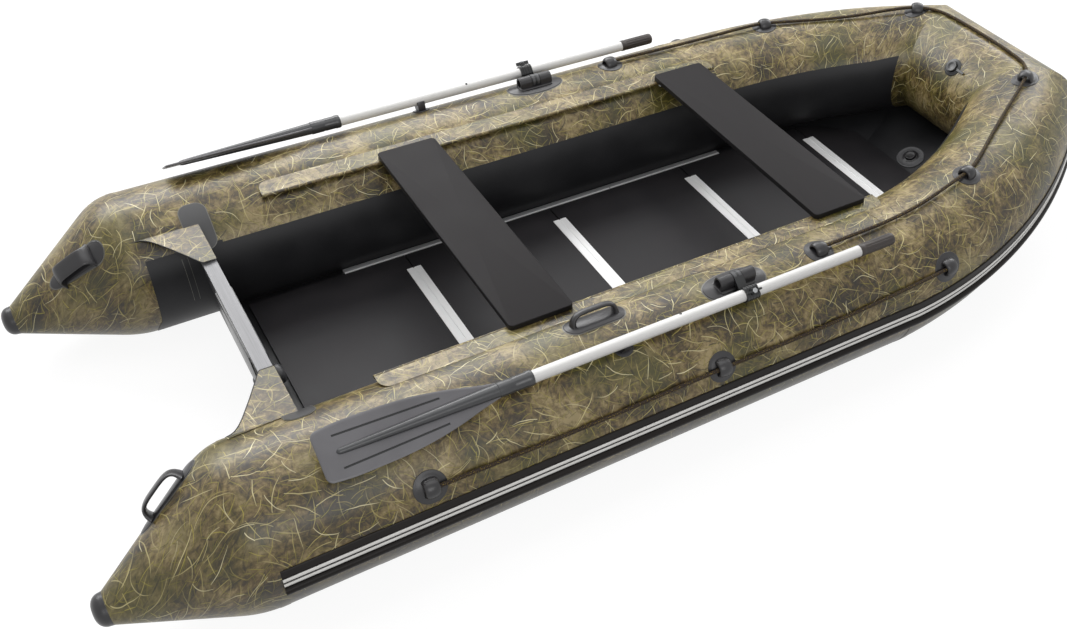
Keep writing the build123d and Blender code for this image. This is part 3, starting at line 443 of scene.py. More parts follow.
@dataclass(frozen=True)
class Finish:
    """A plain finish: one colour that varies a little, with a fine relief.

    The real grains, of some tenths of a millimetre, are too fine to show and are drawn coarser.
    """

    name: str
    slot: str
    colour: str
    dark: str
    roughness: float = 0.5
    metallic: float = 0.0
    grain: float = 1.0          # size of the relief's grain, mm
    relief: float = 0.05        # height of the relief, mm
    patch: float = 120.0        # size of the patches of tone, mm
    specular: float = 0.5
    stretch: tuple[float, float, float] = (1.0, 1.0, 1.0)

    def material(self) -> bpy.types.Material:
        """The material, made once."""
        found = bpy.data.materials.get(self.name)
        if found:
            return found
        made = bpy.data.materials.new(self.name)
        made.use_nodes = True
        tree = made.node_tree
        tree.nodes.clear()
        shader = node(tree, "ShaderNodeBsdfPrincipled", {
            "Roughness": self.roughness, "Metallic": self.metallic, "Specular IOR Level": self.specular,
            **self.looks(tree),
        })
        node(tree, "ShaderNodeOutputMaterial", {"Surface": shader[0]})
        return made

    def looks(self, tree: bpy.types.NodeTree) -> dict[str, Socket]:
        """Colour, roughness and relief.

        Formula: the tone is 0.7 of the patches' noise and 0.3 of the grain's.  It runs the colour from dark to
        light and moves the roughness by an eighth either way.
        Args:
            tree: the material's tree, with object coordinates in metres stretched along the grain.
        Returns:
            A socket for each of the shader's inputs.
        """
        spot = node(tree, "ShaderNodeTexCoord")["Object"]
        place = node(tree, MAPPING, {"Vector": spot, "Scale": self.stretch})[0]
        patches = node(tree, NOISE, {"Vector": place, "Scale": 1000 / self.patch, "Detail": 5.0})[0]
        grain = node(tree, NOISE, {"Vector": place, "Scale": 1000 / self.grain, "Detail": 2.0})[0]
        broad = node(tree, MATH, {0: patches, 1: 0.7}, operation="MULTIPLY")[0]
        tone = node(tree, MATH, {0: grain, 1: 0.3, 2: broad}, operation="MULTIPLY_ADD")[0]
        shade = node(tree, RAMP, {"Fac": tone}, ((0.35, self.dark), (0.65, self.colour)))["Color"]
        rough = node(tree, MATH, {0: tone, 1: 0.25, 2: self.roughness - 0.125}, operation="MULTIPLY_ADD")
        bump = node(tree, BUMP, {"Height": grain, "Distance": self.relief * MM, "Strength": 1.0})
        return {"Base Color": shade, "Roughness": rough[0], "Normal": bump[0]}


@dataclass(frozen=True)
class ReedCloth(Finish):
    """Printed PVC cloth: dry reeds and grass over earth tones.

    The print is a generic one: earth patches of a hand's size with fine litter, under layers of curved stalks.
    Below the rub rail it turns almost black: painted shade for the tube's underside, which lies in shadow.
    Each layer has one stalk in every cell of a scattered pattern, turned at random and bent to a parabola.
    """

    earth: tuple[tuple[float, str], ...] = (
        (0.37, "#1f180c"), (0.44, "#3a2f1b"), (0.50, "#594a2c"), (0.56, "#786845"), (0.64, "#95855f"),
    )
    stalks: tuple[tuple[float, float, float, str, str, float], ...] = (
        # cell mm, half length mm, half width mm, colour, other colour, strength
        (46.0, 38.0, 3.4, "#151008", "#2a2213", 0.75),
        (26.0, 24.0, 1.2, "#716a28", "#3f3a16", 0.80),
        (34.0, 31.0, 1.3, "#8f8635", "#5f5722", 0.85),
        (40.0, 36.0, 1.3, "#aa9d48", "#746a2d", 0.85),
        (58.0, 50.0, 1.5, "#bcae6d", "#857745", 0.90),
        (88.0, 76.0, 1.7, "#d6ca95", "#9f925e", 0.90),
        (68.0, 58.0, 1.4, "#e6ddb3", "#b5a873", 0.95),
    )
    # Waves to the metre of each noise.
    stir: float = 9.0           # 111 mm, moves the print about
    hand: float = 7.0           # 143 mm, the earth patches
    litter: float = 62.0        # 16 mm
    green: float = 4.0          # 250 mm, patches of green
    tufts: float = 6.5          # 154 mm, where the stalks stand close
    pucker: float = 14.0        # 71 mm
    weave: float = 900.0        # 1.1 mm, coarser than the real weave so that it shows
    green_colour: str = "#48481b"
    # Painted shade: the near black that the print fades to below the rub rail, over this band of girth and run.
    painted_belly_shade: str = "#11110d"
    belly_shade_girth: tuple[float, float] = (-0.392, -0.425)     # from the tube's top, m
    belly_shade_run: tuple[float, float] = (-0.14, 0.03)          # from the cone's root, m
    sway: float = 19.0          # the most that a stalk's bend varies, 1/m

    def stalk_layer(self, tree: bpy.types.NodeTree, place: Socket, number: int, cell: float, half: float,
                    thick: float) -> tuple[Socket, Socket]:
        """One layer of curved stalks.

        Formula: in each cell the place is taken from the cell's point and turned by a random angle; the stalk
        is where |y - bend * x * x| is under its half width, which falls to nothing at its ends.
        Args:
            tree: the material's tree.
            place: where on the print, in metres.
            number: the layer's number, which shifts and turns it against the others.
            cell: size of a cell, mm.
            half: half a stalk's length, mm.
            thick: half its width, mm.
        Returns:
            The layer's mask and a random number for each cell.
        """
        moved = node(tree, MAPPING, {
            "Vector": place,
            "Location": (0.37 * number, 0.61 * number, 0.0), "Rotation": (0.0, 0.0, 0.9 * number),
        })[0]
        cells = node(tree, "ShaderNodeTexVoronoi", {"Vector": moved, "Scale": 1000 / cell, "Randomness": 1.0},
                     voronoi_dimensions="2D", feature="F1")
        chance = node(tree, "ShaderNodeSeparateColor", {0: cells["Color"]})
        offset = node(tree, VECTOR_MATH, {0: moved, 1: cells["Position"]}, operation="SUBTRACT")[0]
        angle = node(tree, MATH, {0: chance[0], 1: 2 * math.pi}, operation="MULTIPLY")[0]
        turned = node(tree, "ShaderNodeVectorRotate", {"Vector": offset, "Angle": angle},
                      rotation_type="Z_AXIS")[0]
        x, y, _ = node(tree, SPLIT, {0: turned})
        square = node(tree, MATH, {0: x, 1: x}, operation="MULTIPLY")[0]
        bend = node(tree, MATH, {0: chance[1], 1: self.sway, 2: -self.sway / 2},
                    operation="MULTIPLY_ADD")[0]
        line = node(tree, MATH, {0: square, 1: bend, 2: y}, operation="MULTIPLY_ADD")[0]
        away = node(tree, MATH, {0: line}, operation="ABSOLUTE")[0]
        taper = node(tree, MATH, {0: square, 1: -thick * MM / (half * MM) ** 2, 2: thick * MM},
                     operation="MULTIPLY_ADD")[0]
        inside = node(tree, MATH, {0: taper, 1: away}, operation="SUBTRACT")[0]
        mask = node(tree, MATH, {0: inside, 1: 1000 / (0.55 * thick)}, operation="MULTIPLY", use_clamp=True)
        return mask[0], chance[2]

    def ground(self, tree: bpy.types.NodeTree, cloth: Socket, place: Socket) -> Socket:
        """Earth patches with litter, green in places.

        Args:
            tree: the material's tree.
            cloth: where on the uncut cloth, in metres.
            place: the same, moved about.
        Returns:
            The colour.
        """
        large = node(tree, NOISE, {"Vector": cloth, "Scale": self.hand, "Detail": 6.0, "Roughness": 0.62},
                     noise_dimensions="2D")[0]
        litter = node(tree, NOISE, {"Vector": place, "Scale": self.litter, "Detail": 3.0, "Roughness": 0.65},
                      noise_dimensions="2D")[0]
        broad = node(tree, MATH, {0: large, 1: 0.65}, operation="MULTIPLY")[0]
        tone = node(tree, MATH, {0: litter, 1: 0.35, 2: broad}, operation="MULTIPLY_ADD")[0]
        earth = node(tree, RAMP, {"Fac": tone}, self.earth)["Color"]
        green = node(tree, NOISE, {"Vector": cloth, "Scale": self.green, "Detail": 3.0},
                     noise_dimensions="2D")[0]
        patch = node(tree, RANGE, {0: green, 1: 0.48, 2: 0.66, 3: 0.0, 4: 0.55})[0]
        return node(tree, MIX, {0: patch, 6: earth, 7: linear(self.green_colour)}, data_type="RGBA")[2]

    def looks(self, tree: bpy.types.NodeTree) -> dict[str, Socket]:
        """The ground, the stalks over it, painted shade that turns the belly below the rub rail almost black,
        and the relief of pucker and weave.

        Args:
            tree: the material's tree.
        Returns:
            A socket for each of the shader's inputs.
        """
        cloth = node(tree, "ShaderNodeUVMap", uv_map=CLOTH)[0]
        stir = node(tree, NOISE, {"Vector": cloth, "Scale": self.stir, "Detail": 2.0},
                    noise_dimensions="2D")["Color"]
        shift = node(tree, VECTOR_MATH, {0: stir, 1: (0.5, 0.5, 0.5)}, operation="SUBTRACT")[0]
        place = node(tree, VECTOR_MATH, {0: shift, 1: (0.022, 0.022, 0.0), 2: cloth},
                     operation="MULTIPLY_ADD")[0]
        colour = self.ground(tree, cloth, place)
        tufts = node(tree, NOISE, {"Vector": cloth, "Scale": self.tufts, "Detail": 2.0},
                     noise_dimensions="2D")[0]
        for number, (cell, half, thick, light, dull, strength) in enumerate(self.stalks):
            mask, chance = self.stalk_layer(tree, place, number + 1, cell, half, thick)
            shade = node(tree, MIX, {0: chance, 6: linear(light), 7: linear(dull)}, data_type="RGBA")[2]
            thin, close = (0.42, 0.60) if number % 2 else (0.62, 0.44)
            dense = node(tree, RANGE, {0: tufts, 1: thin, 2: close, 3: 0.45, 4: 1.0})[0]
            drawn = node(tree, MATH, {0: mask, 1: strength}, operation="MULTIPLY")[0]
            share = node(tree, MATH, {0: drawn, 1: dense}, operation="MULTIPLY")[0]
            colour = node(tree, MIX, {0: share, 6: colour, 7: shade}, data_type="RGBA")[2]
        # Painted shade: below the rub rail the print fades to near black, where the tube's underside lies in
        # shadow.
        run, girth, _ = node(tree, SPLIT, {0: cloth})
        low, under = self.belly_shade_girth
        aft, fore = self.belly_shade_run
        below = node(tree, RANGE, {0: girth, 1: low, 2: under, 3: 0.0, 4: 0.78})[0]
        ahead = node(tree, RANGE, {0: run, 1: aft, 2: fore})[0]
        belly_shade_share = node(tree, MATH, {0: below, 1: ahead}, operation="MULTIPLY")[0]
        dark = linear(self.painted_belly_shade)
        colour = node(tree, MIX, {0: belly_shade_share, 6: colour, 7: dark}, data_type="RGBA")[2]
        pucker = node(tree, NOISE, {"Vector": cloth, "Scale": self.pucker, "Detail": 1.0},
                      noise_dimensions="2D")[0]
        weave = node(tree, NOISE, {"Vector": cloth, "Scale": self.weave}, noise_dimensions="2D")[0]
        rise = node(tree, MATH, {0: weave, 1: 0.05, 2: pucker}, operation="MULTIPLY_ADD")[0]
        bump = node(tree, BUMP, {"Height": rise, "Distance": 1.2 * MM, "Strength": 1.0})[0]
        return {"Base Color": colour, "Normal": bump}


@dataclass(frozen=True)
class Braid(Finish):
    """Braided cord: dark strands that cross, flecked with a lighter yarn."""

    fleck: str = "#8a7434"
    pitch: float = 9.0          # length of one crossing, mm
    yarn: float = 260.0         # waves to the metre of the flecks, 4 mm

    def looks(self, tree: bpy.types.NodeTree) -> dict[str, Socket]:
        """Strands and flecks on the cord's own length and girth.

        Formula: the product of the sines of length plus girth and length less girth, from 0 to 1.
        Args:
            tree: the material's tree.
        Returns:
            A socket for each of the shader's inputs.
        """
        cloth = node(tree, "ShaderNodeUVMap", uv_map=CLOTH)[0]
        split = node(tree, SPLIT, {0: cloth})
        length, girth = (
            node(tree, MATH, {0: split[k], 1: 2000 * math.pi / self.pitch}, operation="MULTIPLY")[0]
            for k in (0, 1)
        )
        slants = [node(tree, MATH, {0: length, 1: girth}, operation=way)[0]
                  for way in ("ADD", "SUBTRACT")]
        left, right = (node(tree, MATH, {0: slant}, operation="SINE")[0] for slant in slants)
        product = node(tree, MATH, {0: left, 1: right}, operation="MULTIPLY")[0]
        weave = node(tree, MATH, {0: product, 1: 0.5, 2: 0.5}, operation="MULTIPLY_ADD")[0]
        noise = node(tree, NOISE, {"Vector": cloth, "Scale": self.yarn, "Detail": 1.0})[0]
        yarn = node(tree, RANGE, {0: noise, 1: 0.56, 2: 0.64})[0]
        base = node(tree, RAMP, {"Fac": weave}, ((0.1, self.dark), (0.8, self.colour)))["Color"]
        flecks = node(tree, MATH, {0: yarn, 1: weave}, operation="MULTIPLY")[0]
        colour = node(tree, MIX, {0: flecks, 6: base, 7: linear(self.fleck)}, data_type="RGBA")[2]
        bump = node(tree, BUMP, {"Height": weave, "Distance": 0.8 * MM, "Strength": 1.0})[0]
        return {"Base Color": colour, "Normal": bump}


# Calendered PVC: a print under a clear skin that shines softly along the tubes' tops.
REED = ReedCloth("Printed PVC cloth", "camo_fabric", "#8a8062", "#5c5238", roughness=0.38, specular=0.5)
# The same cloth unprinted: near black, with a dull sheen.
BLACK_CLOTH = Finish("Black PVC cloth", "black_fabric", "#262628", "#1d1d1f", roughness=0.45, grain=1.2,
                     relief=0.06, specular=0.25)
# Its heavier tape, a shade paler.
SEAM_CLOTH = Finish("Grey PVC reinforcing tape", "black_fabric", "#3f3f40", "#333334", roughness=0.42,
                    grain=1.5, relief=0.05)
# Extruded rubber: faint lines drawn out along its length, and little shine.
RAIL_RUBBER = Finish("Extruded black rubber", "rub_rail_rubber", "#1b1715", "#120f0e", roughness=0.4, grain=2.0,
                     specular=0.15, stretch=(0.05, 1.0, 1.0))
# The stripes' rubber, smooth and bright.
RAIL_STRIPE = Finish("White rubber stripe", "rub_rail_rubber", "#f4f3f0", "#e8e6e2", roughness=0.4, grain=3.0,
                     relief=0.02)
# Press-moulded rubber: smooth, with soft highlights on its edges.
MOULDED = Finish("Moulded black rubber", "moulded_rubber", "#2a292b", "#1e1d1f", roughness=0.36, grain=0.8,
                 relief=0.03)
GREY_RUBBER = Finish("Mid grey moulded rubber", "moulded_rubber", "#4c4c4e", "#3d3d3f", roughness=0.42,
                     grain=0.9)
# Cloth pressed flat and clear by the welding tool: a dull grey margin.
WELD = Finish("Clear welded margin", "moulded_rubber", "#6b6a64", "#595852", roughness=0.35, grain=2.5,
              relief=0.03)
# Injection-moulded nylon: the shiniest of the black pieces.
NYLON = Finish("Moulded black nylon", "black_plastic", "#262728", "#191a1b", roughness=0.3, grain=0.7,
               relief=0.03)
# Soft grip rubber: brownish and matt.
GRIP = Finish("Brown-black grip rubber", "black_plastic", "#332b27", "#251f1c", roughness=0.5, grain=0.8,
              relief=0.05)
# Sealant squeezed out and smoothed: a pale matt line.
SEALANT = Finish("Pale sealant bead", "black_plastic", "#a9a9a6", "#8f8f8c", roughness=0.5, grain=2.0,
                 relief=0.02)
# Zinc plate: a small bright point.
STEEL = Finish("Zinc-plated steel", "black_plastic", "#b4b6b8", "#9a9c9e", roughness=0.3, metallic=0.9,
               grain=1.5, relief=0.01)
# Polypropylene with a fine spark finish: a flat grey with broad, weak highlights.
OAR_PLASTIC = Finish("Moulded grey polypropylene", "oar_plastic", "#666568", "#59585b", roughness=0.40,
                     grain=0.9, relief=0.04)
SPINE_PLASTIC = Finish("Moulded dark grey polypropylene", "oar_plastic", "#3c3d3f", "#303133", roughness=0.32,
                       grain=0.9, relief=0.04)
# Paint on drawn tube: a clean white with one long highlight.
WHITE_TUBE = Finish("White painted aluminium tube", "white_tube", "#e2e1df", "#d2d1cf", roughness=0.28,
                    grain=2.0, relief=0.01, stretch=(0.1, 1.0, 1.0))
# Etched and anodised: nearly white, with no mirror image in it.
ALUMINIUM = Finish("Satin anodised aluminium", "aluminium_profile", "#f8f8f8", "#ececec", roughness=0.42,
                   metallic=0.1, grain=1.0, relief=0.01, stretch=(1.0, 0.02, 1.0))
# As it left the die: greyer, with draw lines along it.
STRINGER = Finish("Mill-finish aluminium stringer", "aluminium_profile", "#bababc", "#a3a3a5", roughness=0.42,
                  metallic=0.3, grain=1.0, relief=0.01, stretch=(0.02, 1.0, 1.0))
# Handled and weathered: dull grey, in streaks across the boat.
CAP_PROFILE = Finish("Satin aluminium cap", "aluminium_profile", "#8b8b8d", "#626264", roughness=0.5,
                     metallic=0.2, grain=1.6, relief=0.03, patch=60.0, stretch=(1.0, 0.01, 1.0))
# Phenolic film: brown-black and matt, with a faint press texture.
PANEL = Finish("Black film-faced plywood", "floor_board", "#282628", "#212022", roughness=0.5, grain=1.5,
               relief=0.05, specular=0.2)
# Rolled paint over ply: the mattest surface on the boat.
SEAT = Finish("Grey-black painted plywood", "seat_paint", "#201e1f", "#1a1819", roughness=0.55, grain=1.4,
              relief=0.04, specular=0.1)
BOARD_EDGE = Finish("Dark painted ply edge", "seat_paint", "#171617", "#100f10", roughness=0.5, grain=1.2,
                    relief=0.05, specular=0.25)
# Brushed paint over marine ply: its grain still shows across the boat.
TRANSOM = Finish("Black painted marine plywood", "transom_ply", "#2c2c2d", "#222223", roughness=0.45, grain=1.6,
                 relief=0.05, stretch=(1.0, 0.1, 1.0))
# Polyester braid: dry and dark, flecked with yellow.
CORD = Braid("Braided black and yellow cord", "rope", "#33271f", "#0f0b09", roughness=0.7, specular=0.25)


def dress(name: str, finish: Finish) -> None:
    """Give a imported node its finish."""
    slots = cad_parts[name].material_slots
    for item in slots:
        item.link = "OBJECT"
        item.material = finish.material()


# ---------------------------------------------------------------- hull
@dataclass
class Hull:
    """The air tubes with their black panels, seam tapes and rub rail.

    A place on them is a run along the port tube, from the cone's root, and an angle round it, from outboard up.
    Runs under 0 are on the stern cone, and runs past `end` cross the bow.
    """

    tube_radius: float = 0.225
    bow_radius: float = 0.198
    bow_turn: float = math.radians(40.5)
    corner_offset: float = 0.248
    bow_rise: float = 0.130
    rise_power: float = 1.36
    axis_offset: float = 0.600
    cone_length: float = 0.379
    cone_tip_radius: float = 0.0435
    cone_drop: float = 0.085
    cone_splay: float = 0.008
    cone_ease: float = 0.28     # share of the cone over which its taper sets in
    shear_start: float = 0.7    # share of the bow quarter after which its rows lean into the corner
    panel_angle: float = math.radians(148.0)
    panel_fall: float = math.radians(5.0)   # how far the panels' upper edge sinks round the bow
    panel_end: float = 0.055    # bow corner to the panels
    panel_cloth: float = 0.0012
    stern_angles: tuple[float, ...] = (3.2, 3.93, 4.4, 5.0)
    stern_reach: tuple[float, ...] = (-0.10, -0.12, -0.166, -0.145, -0.01, 0.10)    # ahead of the board
    under_angle: float = math.radians(318.0)
    tape_width: float = 0.026
    tape_cloth: float = 0.0009
    tape_angle: float = -0.75   # where the tapes start, low on the outboard side
    rail_angles: tuple[float, float] = (math.radians(-9.0), math.radians(12.5))
    rail_thick: float = 0.004
    bumper_angle: float = math.radians(-4.6)
    bumper_radius: float = 0.0125
    stripe_angles: tuple[float, float] = (math.radians(4.6), math.radians(0.55))
    stripe_half: float = 0.0047
    cone_x: float = field(init=False)
    curve_x: float = field(init=False)
    side_length: float = field(init=False)
    arc_radius: float = field(init=False)
    arc_length: float = field(init=False)
    corner_x: float = field(init=False)
    mitre: float = field(init=False)

    def __post_init__(self) -> None:
        """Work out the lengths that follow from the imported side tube."""
        low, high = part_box("port_side_tube")
        self.cone_x, self.curve_x = low.x, high.x
        self.side_length = high.x - low.x
        self.arc_radius = (self.axis_offset - self.corner_offset) / (1 - math.cos(self.bow_turn))
        self.arc_length = self.arc_radius * self.bow_turn
        self.corner_x = self.curve_x + self.arc_radius * math.sin(self.bow_turn)
        self.mitre = (math.pi / 2 - self.bow_turn) / 2

    @property
    def end(self) -> float:
        """The run at the bow corner."""
        return self.side_length + self.arc_length

    def run(self, x: float) -> float:
        """The run at a place along the straight tube."""
        return x - self.cone_x

    def taper(self, run: Array) -> Array:
        """Share of the cone's change done at a run.

        Formula: it sets in as a parabola before it runs straight.
        """
        share, ease = np.clip(-run / self.cone_length, 0, 1), self.cone_ease
        return np.where(share < ease, share**2 / (2 * ease), share - ease / 2) / (1 - ease / 2)

    def radius(self, run: Array) -> Array:
        """The radius: even on the side, changing evenly on the bow quarter, and as taper says on the cone."""
        turn = np.clip((run - self.side_length) / self.arc_length, 0, 1)
        return (self.tube_radius + (self.bow_radius - self.tube_radius) * turn
                + (self.cone_tip_radius - self.tube_radius) * self.taper(run))

    def place(self, run: Array, angle: Array, lift: Array = 0.0) -> Array:
        """Points on the tubes.

        Formula: the axis at the run, plus radius and lift times (cosine of the angle outboard + sine up), plus
        a slide along the axis that leans the last rows of the bow quarter, and all those of the cross tube,
        into the corner's plane.
        Args:
            run: distance along the tube, m.
            angle: round the tube from outboard up, radians.
            lift: height over the cloth, m.
        Returns:
            Points, in the broadcast shape by 3.
        """
        run, angle, lift = np.broadcast_arrays(np.asarray(run, float), angle, lift)
        share = self.taper(run)
        turn = np.clip((run - self.side_length) / self.arc_length, 0, 1)
        heading = turn * self.bow_turn
        reach = self.radius(run) + lift
        wide, high = reach * np.cos(angle), reach * np.sin(angle)
        lean = np.clip((turn - self.shear_start) / (1 - self.shear_start), 0, 1)
        slide = lean**2 * (3 - 2 * lean) * wide * math.tan(self.mitre)
        x = self.cone_x + np.minimum(run, self.side_length) + self.arc_radius * np.sin(heading)
        y = self.axis_offset + self.cone_splay * share - self.arc_radius * (1 - np.cos(heading))
        z = self.tube_radius + self.bow_rise * turn**self.rise_power - self.cone_drop * share
        quarter = np.stack([
            x + wide * np.sin(heading) + slide * np.cos(heading),
            y + wide * np.cos(heading) - slide * np.sin(heading),
            z + high,
        ], axis=-1)
        across = self.corner_offset - (run - self.end)
        cross = np.stack([
            self.corner_x + wide,
            across * (1 + wide * math.tan(self.mitre) / self.corner_offset),
            z + high,
        ], axis=-1)
        return np.where((run > self.end)[..., None], cross, quarter)

    def spot(self, run: float, angle: float, lift: float = 0.0) -> tuple[Array, Array, Array]:
        """A point on the tube, with directions there.

        Formula: differences over a tenth of a millimetre.
        Args:
            run, angle, lift: as for place.
        Returns:
            The point, the direction along the tube, and the direction out of it, square to the cone's taper.
        """
        step = 1e-4
        origin = self.place(run, angle, lift)
        out = self.place(run, angle, lift + step) - origin
        along = self.place(run + step, angle, lift) - self.place(run - step, angle, lift)
        if run < 0:
            out = out - along * (along @ out) / (along @ along)
        out = out / np.linalg.norm(out)
        along = along - out * (along @ out)
        return origin, along / np.linalg.norm(along), out

    def bent(self, surface: Surface, run: float, angle: float, lift: float = 0.0) -> Surface:
        """Bend a local surface round the tube.

        Formula: x is added to the run, y over the radius is taken from the angle, and z is added to the lift.
        Args:
            surface: the surface in local x, y and z.
            run, angle, lift: where its origin goes, as for place.
        Returns:
            The bent surface.
        """
        x, y, z = surface.points.T
        radius = self.radius(np.asarray(run))
        return surface.moved(self.place(run + x, angle - y / radius, lift + z))

    def sheet(self, runs: Array, angles: Array, thickness: float, sunk: float = 0.0005) -> Surface:
        """Cloth laid on the tubes, with runs and angles as grids of one shape."""
        flat = np.stack([runs, (angles - math.pi / 2) * self.radius(runs)], axis=-1)
        return Surface.slab(self.place(runs, angles, thickness), self.place(runs, angles, -sunk), flat)

    def skin(self, runs: Array, columns: int = 128) -> Surface:
        """A closed length of tube; its loops start underneath."""
        angles = np.linspace(-math.pi / 2, 1.5 * math.pi, columns, endpoint=False)
        grid_runs, grid_angles = np.meshgrid(runs, angles, indexing="ij")
        flat = np.stack([grid_runs, (grid_angles - math.pi / 2) * self.radius(grid_runs)], axis=-1)
        return Surface.grid(self.place(grid_runs, grid_angles), flat, ring=True, caps=True)

    def strip(self, profile: Array, runs: Array) -> Surface:
        """A profile carried along the tubes: each of its points is an arc from the outboard line and a lift."""
        angles = profile[None, :, 0] / self.tube_radius
        grid_runs, grid_angles = np.broadcast_arrays(runs[:, None], angles)
        flat = np.stack([grid_runs, np.broadcast_to(profile[None, :, 0], grid_runs.shape)], axis=-1)
        points = self.place(grid_runs, grid_angles, np.broadcast_to(profile[None, :, 1], grid_runs.shape))
        return Surface.grid(points, flat, ring=True, caps=True)

    def build_tubes(self) -> None:
        """The camouflaged tubes."""
        parts = {
            "stern_cone": np.linspace(-self.cone_length, 0, 40),
            "side_tube": np.linspace(0, self.side_length, 120),
            "bow_quarter_tube": np.linspace(self.side_length, self.end, 96),
        }
        for name, runs in parts.items():
            self.skin(runs).pair(f"{name}_cloth", REED, replaces=name)
        cross = np.linspace(self.end + 1e-6, self.end + 2 * self.corner_offset, 48)
        self.skin(cross).piece("bow_tube_cloth", REED, replaces=("bow_tube",))

    def build_panels(self) -> None:
        """The black cloth on the inner and under sides, and the tapes over the cross seams."""
        angles = np.linspace(self.panel_angle, self.under_angle, 110)
        knots = (self.panel_angle, *self.stern_angles, self.under_angle)
        start = self.run(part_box("transom_board")[0].x) + eased(angles, knots, self.stern_reach)
        share = np.linspace(0, 1, 150)[:, None]
        runs = start[None] + (self.end - self.panel_end - start[None]) * share
        upper = self.panel_angle + self.panel_fall * np.clip((runs - self.side_length) / self.arc_length, 0, 1)
        grid_angles = upper + (self.under_angle - upper) * np.linspace(0, 1, 110)[None]
        self.sheet(runs, grid_angles, self.panel_cloth).pair("inner_panel", BLACK_CLOTH)
        tape_angles = np.linspace(self.tape_angle, self.panel_angle, 90)
        for name, run in (("cone", 0.0), ("quarter", self.side_length)):
            tape_runs = run + np.linspace(-self.tape_width / 2, self.tape_width / 2, 6)
            grid_runs, grid = np.meshgrid(tape_runs, tape_angles, indexing="ij")
            self.sheet(grid_runs, grid, self.tape_cloth).pair(f"{name}_tape", REED)

    def rail_profile(self) -> Array:
        """Section of the rub rail: a flat strip with a round bumper low on it, as arcs and lifts."""
        low, high = (angle * self.tube_radius for angle in self.rail_angles)
        thick, bump = self.rail_thick, self.bumper_angle * self.tube_radius
        turn = np.linspace(-math.pi / 2, math.pi / 2, 15)
        bumper = np.stack([bump + self.bumper_radius * np.sin(turn),
                           thick + self.bumper_radius * np.cos(turn) * 0.95], axis=-1)
        return np.vstack([
            [(low, -0.001), (low, thick * 0.6), (low + 0.002, thick)], bumper,
            [(high - 0.003, thick), (high, thick * 0.5), (high, -0.001)],
        ])

    def stripes(self, runs: Array) -> Surface:
        """The two white stripes, each a low pillow of rubber on the rail."""
        half, thick = self.stripe_half, self.rail_thick
        across = half * np.array([-1.0, -1.0, -0.6, 0.0, 0.6, 1.0, 1.0])
        lift = thick + np.array([-0.001, 0.0008, 0.0016, 0.0019, 0.0016, 0.0008, -0.001])
        first, second = (
            self.strip(np.stack([angle * self.tube_radius + across, lift], axis=-1), runs)
            for angle in self.stripe_angles
        )
        return first.joined(second)

    def build_rub_rail(self) -> None:
        """The extruded rub rail with its round bumper and two white stripes."""
        side = np.linspace(0.005, self.side_length, 60)[:-1]
        port = np.concatenate([side, np.linspace(self.side_length, self.end, 80)])
        cross = np.linspace(self.end + 1e-6, self.end + 2 * self.corner_offset, 40)
        profile = self.rail_profile()
        self.strip(profile, port).pair("rub_rail_rubber", RAIL_RUBBER, replaces="rub_rail")
        self.strip(profile, cross).piece("bow_rub_rail_rubber", RAIL_RUBBER, replaces=("bow_rub_rail",))
        self.stripes(port).pair("rub_rail_stripes", RAIL_STRIPE)
        self.stripes(cross).piece("bow_rub_rail_stripes", RAIL_STRIPE)


# ---------------------------------------------------------------- bottom and floor
@dataclass
class Bottom:
    """The black cloth of the hull's bottom: a vee below, and a flat above that climbs ahead of the floor."""

    hull: Hull
    flat_z: float = 0.0755
    tip_x: float = 1.5543
    tip_z: float = 0.1847
    vee_power: float = 1.1      # how the bottom rises from keel to chine: 1 would be straight
    root_share: float = 0.86    # share of the half width that is flat inside
    chine_angle: float = math.radians(34.7)
    chine_turn: float = math.radians(20.0)
    chine_depth: float = 0.935
    root_depth: float = 0.80
    keel_knots: tuple[float, ...] = (-1.25, 0.63, 0.956, 1.283, 1.42, 1.548)
    keel_rise: tuple[float, ...] = (0.0015, 0.0015, 0.009, 0.0385, 0.094, 0.1645)

    def build(self) -> None:
        """The bottom as one closed sheet.

        Formula: the outer face runs from the keel to the chine as the share across to the power 1.1, and the
        inner face is flat to the floor's edge, then turns up to its root in the tube as a square.
        """
        low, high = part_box("bottom_skin")
        floor_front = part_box("floor_panel_5")[1].x
        x = np.linspace(low.x, high.x + 0.004, 110)
        sine = np.clip((x - self.hull.curve_x) / self.hull.arc_radius, 0, 1)
        heading = np.arcsin(sine)
        turn = heading / self.hull.bow_turn
        middle = self.hull.axis_offset - self.hull.arc_radius * (1 - np.cos(heading))
        height = self.hull.tube_radius + self.hull.bow_rise * turn**self.hull.rise_power
        radius = self.hull.tube_radius + (self.hull.bow_radius - self.hull.tube_radius) * turn
        angle = self.chine_angle - self.chine_turn * turn
        chine_y = middle - radius * self.chine_depth * np.sin(angle)
        chine_z = height - radius * self.chine_depth * np.cos(angle)
        root_y = middle - radius * self.root_depth * np.sin(angle)
        root_z = height - radius * self.root_depth * np.cos(angle)
        keel = eased(x, self.keel_knots, self.keel_rise)
        climb = np.clip((x - floor_front) / (self.tip_x - floor_front), 0, 1)
        top = self.flat_z + (self.tip_z - self.flat_z) * climb
        across = np.linspace(-1, 1, 65)[None]
        share = np.abs(across)
        lower = np.stack(np.broadcast_arrays(
            x[:, None], across * chine_y[:, None],
            keel[:, None] + (chine_z - keel)[:, None] * share**self.vee_power,
        ), axis=-1)
        lift = np.clip((share - self.root_share) / (1 - self.root_share), 0, 1) ** 2
        upper = np.stack(np.broadcast_arrays(
            x[:, None], across * root_y[:, None],
            top[:, None] + (np.maximum(root_z, top + 0.004) - top)[:, None] * lift,
        ), axis=-1)
        sheet = Surface.slab(upper[:, ::-1], lower[:, ::-1])
        sheet.piece("bottom_cloth", BLACK_CLOTH, replaces=("bottom_skin",))


